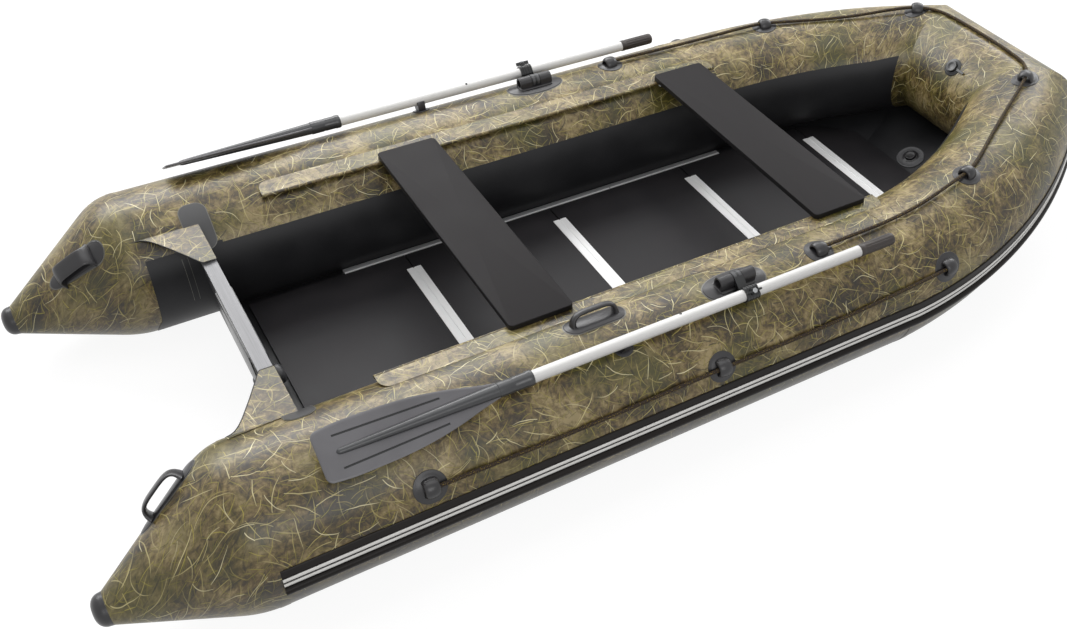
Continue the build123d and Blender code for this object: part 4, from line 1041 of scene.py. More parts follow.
@dataclass
class Floor:
    """Plywood panels in aluminium joints, gripped by a stringer on each side."""

    flange: float = 0.0025
    groove_width: float = 0.005
    groove_depth: float = 0.0023
    panel_count: int = 5
    lip_width: float = 0.0065
    lip_thick: float = 0.0016
    joint_width: float = 0.05
    web: float = 0.002          # half the web's thickness
    stringer_split: float = 2.024   # from the stern
    split_gap: float = 0.003    # from the split to each lip

    def profile(self, width: float, low: float, high: float) -> Array:
        """Section of a joint: two flanges on a web, with a groove along the top's middle."""
        half, web, flange = width / 2, self.web, self.flange
        slot, deep = self.groove_width / 2, self.groove_depth
        return np.array([
            (slot, high - deep), (slot + 0.0006, high), (half - 0.0008, high), (half, high - 0.0008),
            (half, high - flange), (web, high - flange), (web, low + flange), (half, low + flange),
            (half, low), (-half, low), (-half, low + flange), (-web, low + flange), (-web, high - flange),
            (-half, high - flange), (-half, high - 0.0008), (-half + 0.0008, high),
            (-slot - 0.0006, high), (-slot, high - deep),
        ])[::-1]

    def build_lip_highlights(self) -> None:
        """A rolled lip along each stringer's inner edge, in the nearly white joint finish: a painted highlight
        on the stringer's edge.
        """
        low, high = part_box("port_floor_stringer")
        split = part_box("stern_caps")[0].x + self.stringer_split
        section = rounded(self.lip_width, self.lip_thick, 0.0007, 4)
        lips = []
        for start, end in ((low.x + 0.001, split - self.split_gap), (split + self.split_gap, high.x - 0.001)):
            path = np.array([[start, 0.0, high.z + 0.0003], [end, 0.0, high.z + 0.0003]])
            path[:, 1] = low.y + self.lip_width / 2
            lips.append(carried(section, path, np.tile(TO_PORT, (2, 1)), np.tile(UP, (2, 1))))
        # Painted highlight: the lips are whiter than the stringer's own metal, for the bright line along its
        # edge.
        lips[0].joined(lips[1]).both().piece("stringer_lip_highlights", ALUMINIUM, smooth=30.0)

    def build(self) -> None:
        """The joints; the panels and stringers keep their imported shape."""
        self.build_lip_highlights()
        low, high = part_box("floor_profiles")
        edges = [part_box(f"floor_panel_{number + 1}") for number in range(self.panel_count)]
        joints = [(edges[k][1].x + edges[k + 1][0].x) / 2 for k in range(self.panel_count - 1)]
        section = self.profile(self.joint_width, low.z, high.z)
        path = np.array([low.y, high.y])[:, None] * TO_PORT
        bar = carried(section, path, np.tile(AHEAD, (2, 1)), np.tile(UP, (2, 1)))
        bars = [bar.moved(bar.points + x * AHEAD) for x in joints]
        bars[0].joined(*bars[1:]).piece("floor_joints", ALUMINIUM, replaces=("floor_profiles",), smooth=25.0)
        for number in range(self.panel_count):
            dress(f"floor_panel_{number + 1}", PANEL)
        for side in BOTH_SIDES:
            dress(f"{side.name.lower()}_floor_stringer", STRINGER)


# ---------------------------------------------------------------- transom
@dataclass
class Transom:
    """The stern board with its cap, motor plates, drain valve, cloth knees and the tabs that hold it."""

    hull: Hull
    rake: float = math.radians(5.0)
    board: float = 0.035
    height: float = 0.392
    pad_size: tuple[float, float, float] = (0.340, 0.190, 0.008)
    pad_corner: float = 0.014
    pad_middle: float = 0.2695
    drain_height: float = 0.120
    knee_z: float = 0.3995
    knee_tip: float = 0.262
    knee_reach: float = 0.187
    knee_hollow: tuple[tuple[float, float], ...] = ((0.103, 0.368), (0.070, 0.312))     # aft of the cap, and y
    knee_flap: tuple[float, float] = (128.0, 7.5)   # angle on the tube at the cap, and its fall aft, degrees
    knee_cloth: float = 0.0012
    bead: float = 0.0032
    cap_width: float = 0.041
    tab_size: tuple[float, float] = (0.080, 0.150)
    tab_corner: float = 0.030
    tab_angle: float = math.radians(131.0)
    tab_ahead: float = 0.018
    patch_angles: tuple[float, float] = (math.radians(146), math.radians(225))
    patch_aft: tuple[float, float] = (0.158, 0.168)     # at its top and at its foot
    patch_ahead: float = 0.072
    strap_angles: tuple[float, float] = (math.radians(152), math.radians(190))
    strap_aft: float = 0.050
    strap_half: float = 0.008
    strap_weld: float = 0.0014

    @property
    def aft(self) -> Array:
        """Direction square to the board, towards the stern."""
        return np.array([-math.cos(self.rake), 0.0, -math.sin(self.rake)])

    def spot(self, up: float, out: float) -> Array:
        """A place on the board: up its slope, and out of its middle towards the bow."""
        sine, cosine = math.sin(self.rake), math.cos(self.rake)
        foot_x = self.middle_x + self.height * math.tan(self.rake)
        return np.array([foot_x - up * sine + out * cosine, 0.0, up * cosine + out * sine])

    @property
    def middle_x(self) -> float:
        """The board's middle at its top edge, inside a cap of 2.5 mm."""
        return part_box("transom_cap_profile")[0].x + (self.board / 2 + 0.0025) * math.cos(self.rake)

    def build_plates(self) -> None:
        """The plates for a motor's bracket, each with a bevelled edge and a bright bead round it."""
        width, height, thick = self.pad_size
        outline = rounded(width, height, self.pad_corner)
        steps = np.array([[0.0, 0.0], [0.0, thick - 0.002], [0.0007, thick - 0.0006], [0.0022, thick]])
        bead_steps = np.array([[-0.0016, 0.0], [-0.0016, 0.0028], [-0.0006, 0.0036], [0.0006, 0.0036]])
        for name, way in (("outer", -1.0), ("inner", 1.0)):
            out = -self.aft * way
            origin = self.spot(self.pad_middle, way * self.board / 2)
            plate = placed(pillow(outline, steps), origin, TO_PORT, out)
            plate.piece(f"{name}_motor_plate", NYLON, replaces=(f"{name}_motor_pad",), smooth=30.0)
            bead = placed(pillow(outline, bead_steps), origin, TO_PORT, out)
            bead.piece(f"{name}_plate_bead", SEALANT)

    def build_drain(self) -> None:
        """The drain valve: a flange with a domed body inside the board, and a cap on its aft side."""
        cap = np.array([
            (0.026, 0.0), (0.026, 0.0045), (0.0245, 0.006), (0.0205, 0.006), (0.0200, 0.0052), (0.0188, 0.0052),
            (0.0180, 0.0068), (0.0145, 0.0092), (0.0085, 0.0108), (0.002, 0.0112),
        ])
        aft_origin, fore_origin = (self.spot(self.drain_height, way * self.board / 2) for way in (-1, 1))
        placed(spun(cap), aft_origin, TO_PORT, self.aft).piece("drain_cap", NYLON, smooth=30.0)
        flange = np.array([(0.041, 0.0), (0.041, 0.0075), (0.039, 0.0100), (0.033, 0.0105), (0.0325, 0.0090)])
        rim = placed(spun(flange), fore_origin, TO_PORT, -self.aft)
        rim.piece("drain_flange", NYLON, replaces=("drain_valve",), smooth=30.0)
        bend = np.linspace(0, math.pi / 2, 12)[:-1]
        barrel = np.vstack([[(0.0315, 0.006), (0.0315, 0.026), (0.0330, 0.027), (0.0330, 0.031)],
                            np.stack([0.0318 * np.cos(bend) ** 0.6, 0.032 + 0.016 * np.sin(bend)], axis=-1)])
        placed(spun(barrel), fore_origin, TO_PORT, -self.aft).piece("drain_body", GREY_RUBBER, smooth=35.0)

    def knee(self) -> tuple[Surface, Array, float]:
        """The port knee.

        Formula: rows run aft from the cap. Each goes from the free edge, a hollow curve, out over the cap's
        level and, past the line where that level meets the tube, round the tube to the flap's edge.
        Returns:
            The sheet, the line of its free edge, and its area.
        """
        radius, axis = self.hull.tube_radius, self.hull.axis_offset
        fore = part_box("transom_cap_profile")[1].x - 0.0005
        share = np.linspace(0, 1, 40)
        x = fore - self.knee_reach * share
        meet = axis - math.sqrt(radius**2 - (self.knee_z - radius)**2)
        (back, back_y), (near, near_y) = self.knee_hollow
        knots = (fore - self.knee_reach, fore - 0.165, fore - back, fore - near, fore - self.cap_width)
        free = eased(x, knots, (meet - 0.001, meet - 0.008, back_y, near_y, self.knee_tip))
        free = np.where(x > fore - self.cap_width, self.knee_tip, free)
        flap = np.radians(self.knee_flap[0] - self.knee_flap[1] * share)
        first = math.acos((meet - axis) / radius)
        inner = np.linspace(0, 1, 30)
        outer = np.linspace(0, 1, 12)[1:]
        y_in = free[:, None] + (meet - free)[:, None] * inner
        z_in = np.full_like(y_in, self.knee_z)
        turn = first + (flap - first)[:, None] * outer
        y = np.concatenate([y_in, axis + (radius + 0.0008) * np.cos(turn)], axis=1)
        z = np.concatenate([z_in, radius + (radius + 0.0008) * np.sin(turn)], axis=1)
        grid = np.stack([np.broadcast_to(x[:, None], y.shape), y, z], axis=-1)[:, ::-1]
        steps_x = np.diff(grid, axis=0)[:, :-1]
        steps_y = np.diff(grid, axis=1)[:-1]
        area = float(np.linalg.norm(np.cross(steps_x, steps_y), axis=-1).sum())
        sheet = Surface.slab(grid + self.knee_cloth * UP, grid, grid[..., :2])
        return sheet, grid[:, -1] + self.knee_cloth / 2 * UP, area

    def build_knees(self) -> None:
        """The cloth knees from the cap to the tubes, with a welded bead along the free edge."""
        sheet, edge, area = self.knee()
        left, up = frames(edge, UP)
        carried(oval(self.bead, self.bead, count=10), edge, left, up).pair("knee_bead", BLACK_CLOTH)
        for side in BOTH_SIDES:
            label = side.name.lower()
            cloth = sheet.mirrored(side).piece(f"{label}_knee_cloth", REED, replaces=(f"{label}_transom_knee",))

    def tab(self, grow: float, thickness: float) -> Surface:
        """A tab with round ends, laid on the tube.

        Formula: half its width is even, and over each end falls as a circle of the corner's radius.
        Args:
            grow: how far its edge stands outside the tab's.
            thickness: its height over the tube.
        Returns:
            The port tab.
        """
        half, arc = self.tab_size[0] / 2 + grow, self.tab_size[1] / 2 + grow
        corner = self.tab_corner + grow
        across = arc * np.sin(np.linspace(-math.pi / 2, math.pi / 2, 50))[:, None]
        past = np.clip(np.abs(across) - (arc - corner), 0, corner)
        wide = half - corner + np.sqrt(corner**2 - past**2)
        runs = self.hull.run(self.middle_x + self.tab_ahead) + wide * np.linspace(-1, 1, 14)[None]
        angles = self.tab_angle + np.broadcast_to(across, runs.shape) / self.hull.tube_radius
        return self.hull.sheet(runs, angles, thickness).turned()

    def build_tabs(self) -> None:
        """The black patches inside the tubes at the board, their straps, and the grey tabs above."""
        angles = np.linspace(*self.patch_angles, 40)
        board = self.hull.run(self.middle_x)
        start = board - np.linspace(*self.patch_aft, 40)
        grid_runs = start[None] + (board + self.patch_ahead - start[None]) * np.linspace(0, 1, 24)[:, None]
        patch = self.hull.sheet(grid_runs, np.broadcast_to(angles[None], grid_runs.shape), 0.0018)
        patch.pair("board_patch", BLACK_CLOTH, replaces="transom_patch")
        self.tab(0.0, 0.0030).pair("board_tab", SEAM_CLOTH, smooth=60.0)
        self.tab(0.0025, 0.0022).pair("board_tab_rim", WELD)
        strap_runs = board - self.strap_aft + np.linspace(-self.strap_half, self.strap_half, 5)
        weld_runs = strap_runs[[0, -1]] + np.array([-self.strap_weld, self.strap_weld])
        strap_angles = np.linspace(*self.strap_angles, 30)
        for name, finish, runs, thick in (("board_strap", BLACK_CLOTH, strap_runs, 0.0030),
                                          ("board_strap_weld", WELD, weld_runs, 0.0022)):
            self.hull.sheet(*np.meshgrid(runs, strap_angles, indexing="ij"), thick).pair(name, finish)

    def build(self) -> None:
        """Every piece of the transom."""
        dress("transom_board", TRANSOM)
        dress("transom_cap_profile", CAP_PROFILE)
        self.build_plates()
        self.build_drain()
        self.build_knees()
        self.build_tabs()


# ---------------------------------------------------------------- seats
@dataclass
class Seats:
    """Two boards that slide on the bead of a cloth rail along each tube."""

    hull: Hull
    board: float = 0.018
    laminate: float = 0.0016
    corner: float = 0.014
    bead_y: float = 0.463
    bead_radius: float = 0.006
    flap_end: float = 0.030
    flap_cloth: float = 0.0024
    land_y: float = 0.526       # where the flap meets the tube

    def build_rails(self) -> None:
        """The camouflaged flap with the rope sewn in its edge.

        Formula: the flap is a flat sheet from the bead to its line on the tube, whose outer edge draws in over
        each end as a quarter of an ellipse.
        """
        low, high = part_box("port_seat_rail")
        x = low.x + (high.x - low.x) * (1 - np.cos(np.linspace(0, math.pi, 90))) / 2
        near = np.clip(np.minimum(x - low.x, high.x - x) / self.flap_end, 0, 1)
        full = self.land_y - self.bead_y
        width = full * (0.35 + 0.65 * np.sqrt(1 - (1 - near) ** 2))
        bead_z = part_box("rear_seat_board")[0].z - 0.0004 - self.bead_radius
        across = np.linspace(0, 1, 12)[None]
        y = self.bead_y + width[:, None] * across
        land_z = self.hull.tube_radius + math.sqrt(
            self.hull.tube_radius**2 - (self.hull.axis_offset - self.land_y) ** 2)
        start_z = bead_z + self.bead_radius - 0.0014
        z = start_z + (land_z + 0.0006 - start_z) * (y - self.bead_y) / full
        top = np.stack([np.broadcast_to(x[:, None], y.shape), y, z], axis=-1)[:, ::-1]
        flat = top[..., :2] + np.array([0.0, 0.3])
        flap = Surface.slab(top, top - self.flap_cloth * UP, flat)
        flap.pair("seat_rail_flap", REED, replaces="seat_rail")
        path = np.array([[low.x, self.bead_y, bead_z], [high.x, self.bead_y, bead_z]])
        left, up = frames(path, UP)
        bead = carried(oval(2 * self.bead_radius, 2 * self.bead_radius, count=20), path, left, up)
        bead.pair("seat_rail_bead", REED)

    def build_boards(self) -> None:
        """Each board: a dark edge under a grey laminate, with eased corners; the runners keep their shape."""
        for name in ("rear", "front"):
            low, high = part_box(f"{name}_seat_board")
            outline = rounded(high.x - low.x, high.y - low.y, self.corner, 8)
            origin = np.array([(low.x + high.x) / 2, 0.0, low.z])
            core_top = self.board - self.laminate
            core_steps = np.array([[0.0020, 0.0], [0.0006, 0.0006], [0.0, 0.002], [0.0, core_top]])
            core = placed(pillow(outline, core_steps), origin, AHEAD, UP)
            core.piece(f"{name}_board_core", BOARD_EDGE, body=f"{name}_seat", replaces=(f"{name}_seat_board",),
                       smooth=30.0)
            steps = np.array([[0.0, core_top], [0.0004, self.board - 0.0010], [0.0014, self.board - 0.0002],
                              [0.0026, self.board]])
            face = placed(pillow(outline, steps), origin, AHEAD, UP)
            face.piece(f"{name}_board_face", SEAT, body=f"{name}_seat", smooth=30.0)
            dress(f"{name}_seat_runners", ALUMINIUM)


# ---------------------------------------------------------------- rowlocks and oars
@dataclass
class Oars:
    """The rowlocks with their pins and clamps, and the oars that lie in them."""

    hull: Hull
    lug_angle: float = math.radians(83.0)
    base_length: float = 0.207
    base_width: float = 0.104
    lug_radius: float = 0.020
    lug_bore: float = 0.014
    lug_lift: float = 0.022
    lug_length: float = 0.045
    yoke_width: float = 0.030
    pin_lean: float = math.radians(40.0)
    shaft_radius: float = 0.0175
    collar_length: float = 0.044
    collar_half: float = 0.0217
    flutes: int = 12
    flute_depth: float = 0.0013
    button_aft: float = 0.230   # from the rowlock
    button_lean: float = 0.35
    blade_slope: float = math.radians(34.0)
    blade_thickness: float = 0.007
    blade_knots: tuple[float, ...] = (0.0, 0.03, 0.12, 0.27, 0.39, 0.52, 0.65, 0.745, 0.85, 1.0)
    blade_halves: tuple[float, ...] = (
        0.0660, 0.0675, 0.0715, 0.0715, 0.0700, 0.0650, 0.0555, 0.0460, 0.0330, 0.017)
    slot_middles: tuple[float, float] = (0.0425, 0.0350)
    slot_half: float = 0.0027
    slot_ends: tuple[float, float] = (0.048, 0.328)
    tip_corner: float = 0.016
    dish: float = 0.004
    spine_start: float = 0.045
    socket_length: float = 0.100
    clip_half: float = 0.013
    clip_foot: float = 0.060

    @property
    def x(self) -> float:
        """The rowlock's place along the boat."""
        low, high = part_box("port_oar_collar")
        return (low.x + high.x) / 2

    @property
    def shaft(self) -> tuple[float, float]:
        """The shaft axis's y and z."""
        low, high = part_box("port_oar_shaft")
        return (low.y + high.y) / 2, (low.z + high.z) / 2

    @property
    def pin(self) -> Array:
        """The rowlock pin's direction."""
        return np.array([0.0, math.sin(self.pin_lean), math.cos(self.pin_lean)])

    def turned_along(self, profile: Array, start: float, count: int = 40) -> Surface:
        """A turned shape on the shaft's axis, from a place along the boat towards the bow."""
        return placed(spun(profile, count), np.array([start, *self.shaft]), TO_PORT, AHEAD)

    def lug(self, start: float, end: float) -> Surface:
        """One hollow lug.

        Formula: in polar form round the bore, the outside is a circle above and the straight sides of a block
        below, down to the tube; its section is closed through the bore.
        Args:
            start, end: its faces, ahead of the rowlock's middle.
        Returns:
            The port lug.
        """
        origin, _, out = self.hull.spot(self.hull.run(self.x), self.lug_angle, self.lug_lift)
        cosine, sine = circle(full_turn(64)).T
        side = self.lug_radius / np.maximum(np.abs(cosine), 1e-6)
        down = (self.lug_lift + 0.004) / np.maximum(np.abs(sine), 1e-6)
        outer = np.where(sine >= 0, self.lug_radius, np.minimum(side, down))
        bore = np.full_like(sine, self.lug_bore)
        soft = 0.0015
        rows = [(bore, start), (bore + 0.0006, start), (outer - soft, start), (outer, start + soft),
                (outer, end - soft), (outer - soft, end), (bore + 0.0006, end), (bore, end)]
        local = np.stack([
            np.stack([reach * cosine, reach * sine, np.full_like(sine, x)], axis=-1) for reach, x in rows
        ])
        tangent = np.cross(out, AHEAD)
        points = origin + local[..., 2:] * AHEAD + local[..., :1] * tangent + local[..., 1:2] * out
        return Surface.grid(points, ring=True, loop=True)

    def build_base(self) -> None:
        """The oval base glued to the tube, its two hollow lugs and the ribs between them."""
        run = self.hull.run(self.x)
        outline = oval(self.base_length, self.base_width, 2.2, 72)
        plate = self.hull.bent(pillow(outline, np.array([
            [0.0, -0.001], [0.0, 0.0016], [0.0010, 0.0028], [0.0035, 0.0034], [0.012, 0.0037], [0.014, 0.0044],
        ])), run, self.lug_angle)
        rim_steps = np.array([[-0.0035, -0.001], [-0.0035, 0.0006], [0.0006, 0.0009]])
        rim = self.hull.bent(pillow(outline, rim_steps), run, self.lug_angle)
        pad = self.hull.bent(pillow(rounded(0.124, 0.056, 0.012), np.array([
            [0.0, 0.002], [0.0, 0.0068], [0.0014, 0.0082], [0.003, 0.0086],
        ])), run, self.lug_angle)
        gap = self.yoke_width / 2 + 0.0005
        whole = plate.joined(pad, self.lug(gap, gap + self.lug_length), self.lug(-gap - self.lug_length, -gap))
        whole.pair("rowlock_base", MOULDED, replaces="oarlock_base", smooth=35.0)
        rim.pair("rowlock_rim", WELD)

    def build_yoke(self) -> None:
        """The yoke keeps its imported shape; a paler ring shows between the lugs, and the pin has a nut."""
        origin, _, _ = self.hull.spot(self.hull.run(self.x), self.lug_angle, self.lug_lift)
        ring_profile = np.array([
            (0.0150, -0.0135), (0.0192, -0.0135), (0.0206, -0.0125), (0.0206, -0.0045), (0.0198, -0.0035),
            (0.0198, 0.0035), (0.0206, 0.0045), (0.0206, 0.0125), (0.0192, 0.0135), (0.0150, 0.0135),
        ])
        ring = placed(spun(ring_profile), origin, TO_PORT, AHEAD)
        centre = np.array([self.x, *self.shaft])
        nut = np.array([(0.0075, 0.0), (0.0080, 0.0008), (0.0080, 0.0042), (0.0070, 0.0054), (0.001, 0.0056)])
        top = centre + self.pin * (self.collar_half + 0.0003 + 0.008 + 0.003)
        bolt = placed(spun(nut, 6), top, AHEAD, self.pin)
        for side in BOTH_SIDES:
            label = side.name.lower()
            dress(f"{label}_oarlock_yoke", NYLON)
            dress(f"{label}_oarlock_knob", NYLON)
        ring.pair("rowlock_ring", GREY_RUBBER, body="rowlock", smooth=30.0)
        bolt.pair("pin_nut", STEEL, body="rowlock", smooth=25.0)

    def build_collar(self) -> None:
        """The ribbed clamp on the shaft.

        Formula: each ring is a square with round corners, which steps down in the grooves between ribs.
        """
        half = self.collar_length / 2
        rib = np.array([-1.0, -0.94, -0.80, -0.74, -0.60, -0.54, -0.40, -0.34, -0.20, -0.14,
                        0.14, 0.20, 0.34, 0.40, 0.54, 0.60, 0.74, 0.80, 0.94, 1.0]) * half
        deep = np.array([1.2, 0, 0, 1.6, 1.6, 0, 0, 1.6, 1.6, 0, 0, 1.6, 1.6, 0, 0, 1.6, 1.6, 0, 0, 1.2]) * MM
        size = 2 * (self.collar_half - deep)
        loops = np.stack([rounded(width, width, 0.012 - inset, 8) for width, inset in zip(size, deep)])
        path = np.array([self.x, *self.shaft]) + rib[:, None] * AHEAD
        rows = len(path)
        across = np.cross(self.pin, AHEAD)
        clamp = carried(loops, path, np.tile(across, (rows, 1)), np.tile(self.pin, (rows, 1)))
        clamp.pair("clamp", NYLON, body="oar", replaces="oar_collar", smooth=30.0)

    def build_shaft(self) -> None:
        """The painted tube with its spring button, and the grip.

        Formula: the grip is a turned shape whose radius dips by a power of a cosine, one wave for each flute,
        between its two plain ends.
        """
        low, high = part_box("port_oar_shaft")
        r, length = self.shaft_radius, high.x - low.x
        tube = self.turned_along(np.array([(r, 0.0), (r, 0.4 * length), (r, length)]), low.x, 56)
        out = np.array([0.0, -math.sin(self.button_lean), math.cos(self.button_lean)])
        button = np.array([(0.0042, -0.002), (0.0042, 0.0006), (0.0030, 0.0016), (0.001, 0.0019)])
        stud = placed(spun(button, 16), np.array([self.x - self.button_aft, *self.shaft]) + out * r, AHEAD, out)
        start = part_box("port_oar_grip")[0].x
        along = np.array([0.0, 0.001, 0.004, 0.014, 0.016, 0.020, 0.026, 0.060, 0.104, 0.110, 0.118, 0.123,
                          0.127, 0.1292, 0.130])
        reach = np.array([182, 190, 192, 192, 184, 186, 190, 190, 190, 190, 190, 186, 172, 145, 60]) * 1e-4
        fluted = np.interp(along, [0.020, 0.026, 0.110, 0.118], [0.0, 1.0, 1.0, 0.0])
        turn = full_turn(96)
        flute = np.clip(np.cos(self.flutes * turn), 0, 1) ** 0.6
        width = reach[:, None] - self.flute_depth * fluted[:, None] * flute
        height = np.broadcast_to(along[:, None], width.shape)
        rows = np.stack([width * np.cos(turn), width * np.sin(turn), height], axis=-1)
        grip = placed(Surface.grid(rows, ring=True, caps=True), np.array([start, *self.shaft]), TO_PORT, AHEAD)
        tube.pair("shaft_tube", WHITE_TUBE, body="oar", replaces="oar_shaft")
        stud.pair("shaft_button", NYLON, body="oar")
        grip.pair("grip_sleeve", GRIP, body="oar", replaces="oar_grip")

    def blade_sheet(self, tip: float, length: float) -> tuple[Surface, Surface]:
        """The blade's plate with its two slots, and dark floors halfway down them: painted shade in the slots.

        Formula: half widths are a smooth curve through the blade's stations, drawn in over the tip's corner as
        a quarter circle.  Columns run at even shares, but for those along each groove, which draw in towards the
        spine.  The plate is thinner at its rim, and dished a little across.
        Args:
            tip: the tip's place along the boat.
            length: the plate's length.
        Returns:
            The port plate, and the slots' dark floors, which are painted shade.
        """
        stations = np.concatenate([
            self.tip_corner * (1 - np.cos(np.linspace(0, math.pi / 2, 8))),
            np.linspace(self.tip_corner, self.slot_ends[0], 5)[1:],
            np.linspace(self.slot_ends[0], self.slot_ends[1], 40)[1:],
            np.linspace(self.slot_ends[1], length, 24)[1:],
        ])
        half = eased(stations / length, self.blade_knots, self.blade_halves)
        into = np.clip((self.tip_corner - stations) / self.tip_corner, 0, 1)
        half = half - self.tip_corner * (1 - np.sqrt(np.maximum(1 - into**2, 0)))
        middle = np.interp(stations, self.slot_ends, self.slot_middles)
        outer = np.stack([half, np.minimum(middle + self.slot_half, 0.74 * half),
                          np.minimum(middle - self.slot_half, 0.66 * half)], axis=-1)
        levels = np.concatenate([-outer, np.zeros((len(half), 1)), outer[:, ::-1]], axis=1)
        left = np.concatenate([np.linspace(0, 1, 9), [2.0], 2 + np.linspace(0, 1, 9)[1:]])
        shares = np.concatenate([left, 6.0 - left[-2::-1]])
        index = np.clip(np.floor(shares).astype(int), 0, 5)
        part = shares - index
        across = levels[:, index] * (1 - part) + levels[:, index + 1] * part
        rim = np.clip((half[:, None] - np.abs(across)) / 0.006, 0, 1)
        near_tip = np.clip(stations / 0.006, 0, 1)[:, None]
        thick = self.blade_thickness / 2 * (0.45 + 0.55 * np.sqrt(np.minimum(rim, near_tip)))
        hollow = np.sin(math.pi * np.clip(stations / length, 0, 1))[:, None]
        dish = -self.dish * (1 - (across / 0.072) ** 2) * hollow
        normal = np.array([0.0, math.sin(self.blade_slope), math.cos(self.blade_slope)])
        over = np.array([0.0, math.cos(self.blade_slope), -math.sin(self.blade_slope)])
        base = (np.array([tip, *self.shaft]) + stations[:, None, None] * AHEAD
                + across[..., None] * over + dish[..., None] * normal)
        top = (base + thick[..., None] * normal)[:, ::-1]
        under = (base - thick[..., None] * normal)[:, ::-1]
        first, last = 11, 50
        columns = (8, len(shares) - 10)
        plate = Surface.slab(top, under, holes=tuple((first, last, at, at + 1) for at in columns))
        slot_shade_floors = []
        for at in columns:
            centre = ((top + under) / 2)[first:last + 1, at:at + 2]
            slot_shade_floors.append(Surface.slab(centre + 0.0005 * normal, centre - 0.0005 * normal))
        return plate, slot_shade_floors[0].joined(slot_shade_floors[1])

    def build_blade(self) -> None:
        """The blade, its tapered spine and the ribbed socket that takes the shaft."""
        low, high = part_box("port_oar_blade")
        length = high.x - low.x
        plate, slot_shade_floors = self.blade_sheet(low.x, length - 0.084)
        foot, socket = self.spine_start, length - self.socket_length
        along = np.array([foot, foot + 0.002, foot + 0.006, foot + 0.012])
        reach = np.array([0.0015, 0.0050, 0.0072, 0.0084])
        run = np.linspace(foot + 0.020, socket, 20)
        swell = 0.0088 + (0.0190 - 0.0088) * (run - run[0]) / (run[-1] - run[0])
        spine = np.stack([np.concatenate([reach, swell]), np.concatenate([along, run])], axis=-1)
        end = np.array([(0.0205, socket + 0.002), (0.0205, socket + 0.040), (0.0199, socket + 0.042),
                        (0.0199, socket + 0.048), (0.0205, socket + 0.050), (0.0205, socket + 0.082),
                        (0.0218, socket + 0.084), (0.0218, socket + 0.096), (0.0208, socket + 0.0995),
                        (0.0176, socket + 0.100)])
        shape = self.turned_along(np.vstack([spine, end]), low.x, 40)
        plate.pair("blade", OAR_PLASTIC, body="oar", replaces="oar_blade", smooth=35.0)
        shape.pair("blade_spine", SPINE_PLASTIC, body="oar", smooth=35.0)
        # Painted shade: dark sheets halfway through the plate close the slots, which are cut through, so that
        # they read black.
        slot_shade_floors.pair("blade_slot_shade", NYLON, body="oar", smooth=35.0)

    def build_clips(self) -> None:
        """The saddles that the stowed shafts rest in: a round foot and a cradle open upwards."""
        low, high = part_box("oar_clips")
        x = (low.x + high.x) / 2
        y, z = self.shaft
        centre_y, centre_z = self.hull.axis_offset, self.hull.tube_radius
        angle = math.atan2(z - centre_z, y - centre_y)
        out = np.array([0.0, math.cos(angle), math.sin(angle)])
        tangent = np.array([0.0, math.sin(angle), -math.cos(angle)])
        foot = self.hull.bent(pillow(oval(self.clip_foot, self.clip_foot, count=48), np.array([
            [0.0, -0.001], [0.0, 0.0014], [0.0008, 0.0024], [0.003, 0.0030],
        ])), self.hull.run(x), angle)
        depth = math.hypot(y - centre_y, z - centre_z) - self.hull.tube_radius
        turn = np.linspace(math.radians(196), math.radians(344), 20)
        cut = 0.0180 * circle(turn)
        right = np.array([(0.0215, -0.0045), (0.0222, -0.0100), (0.0175, 0.0045 - depth),
                          (0.0150, -depth - 0.001)])
        outline = np.vstack([cut, right, right[::-1] * np.array([-1.0, 1.0])])
        end, shoulder = self.clip_half, self.clip_half - 0.001
        path = np.array([x, y, z]) + np.array([-end, -shoulder, shoulder, end])[:, None] * AHEAD
        small = outline * np.array([0.97, 1.0])
        loops = np.stack([small, outline, outline, small])
        saddle = carried(loops[:, ::-1], path, np.tile(tangent, (4, 1)), np.tile(out, (4, 1)))
        foot.joined(saddle).both().piece("oar_saddles", MOULDED, replaces=("oar_clips",), smooth=35.0)

    def build(self) -> None:
        """Every piece of the rowlocks and oars."""
        self.build_base()
        self.build_yoke()
        self.build_collar()
        self.build_shaft()
        self.build_blade()
        self.build_clips()


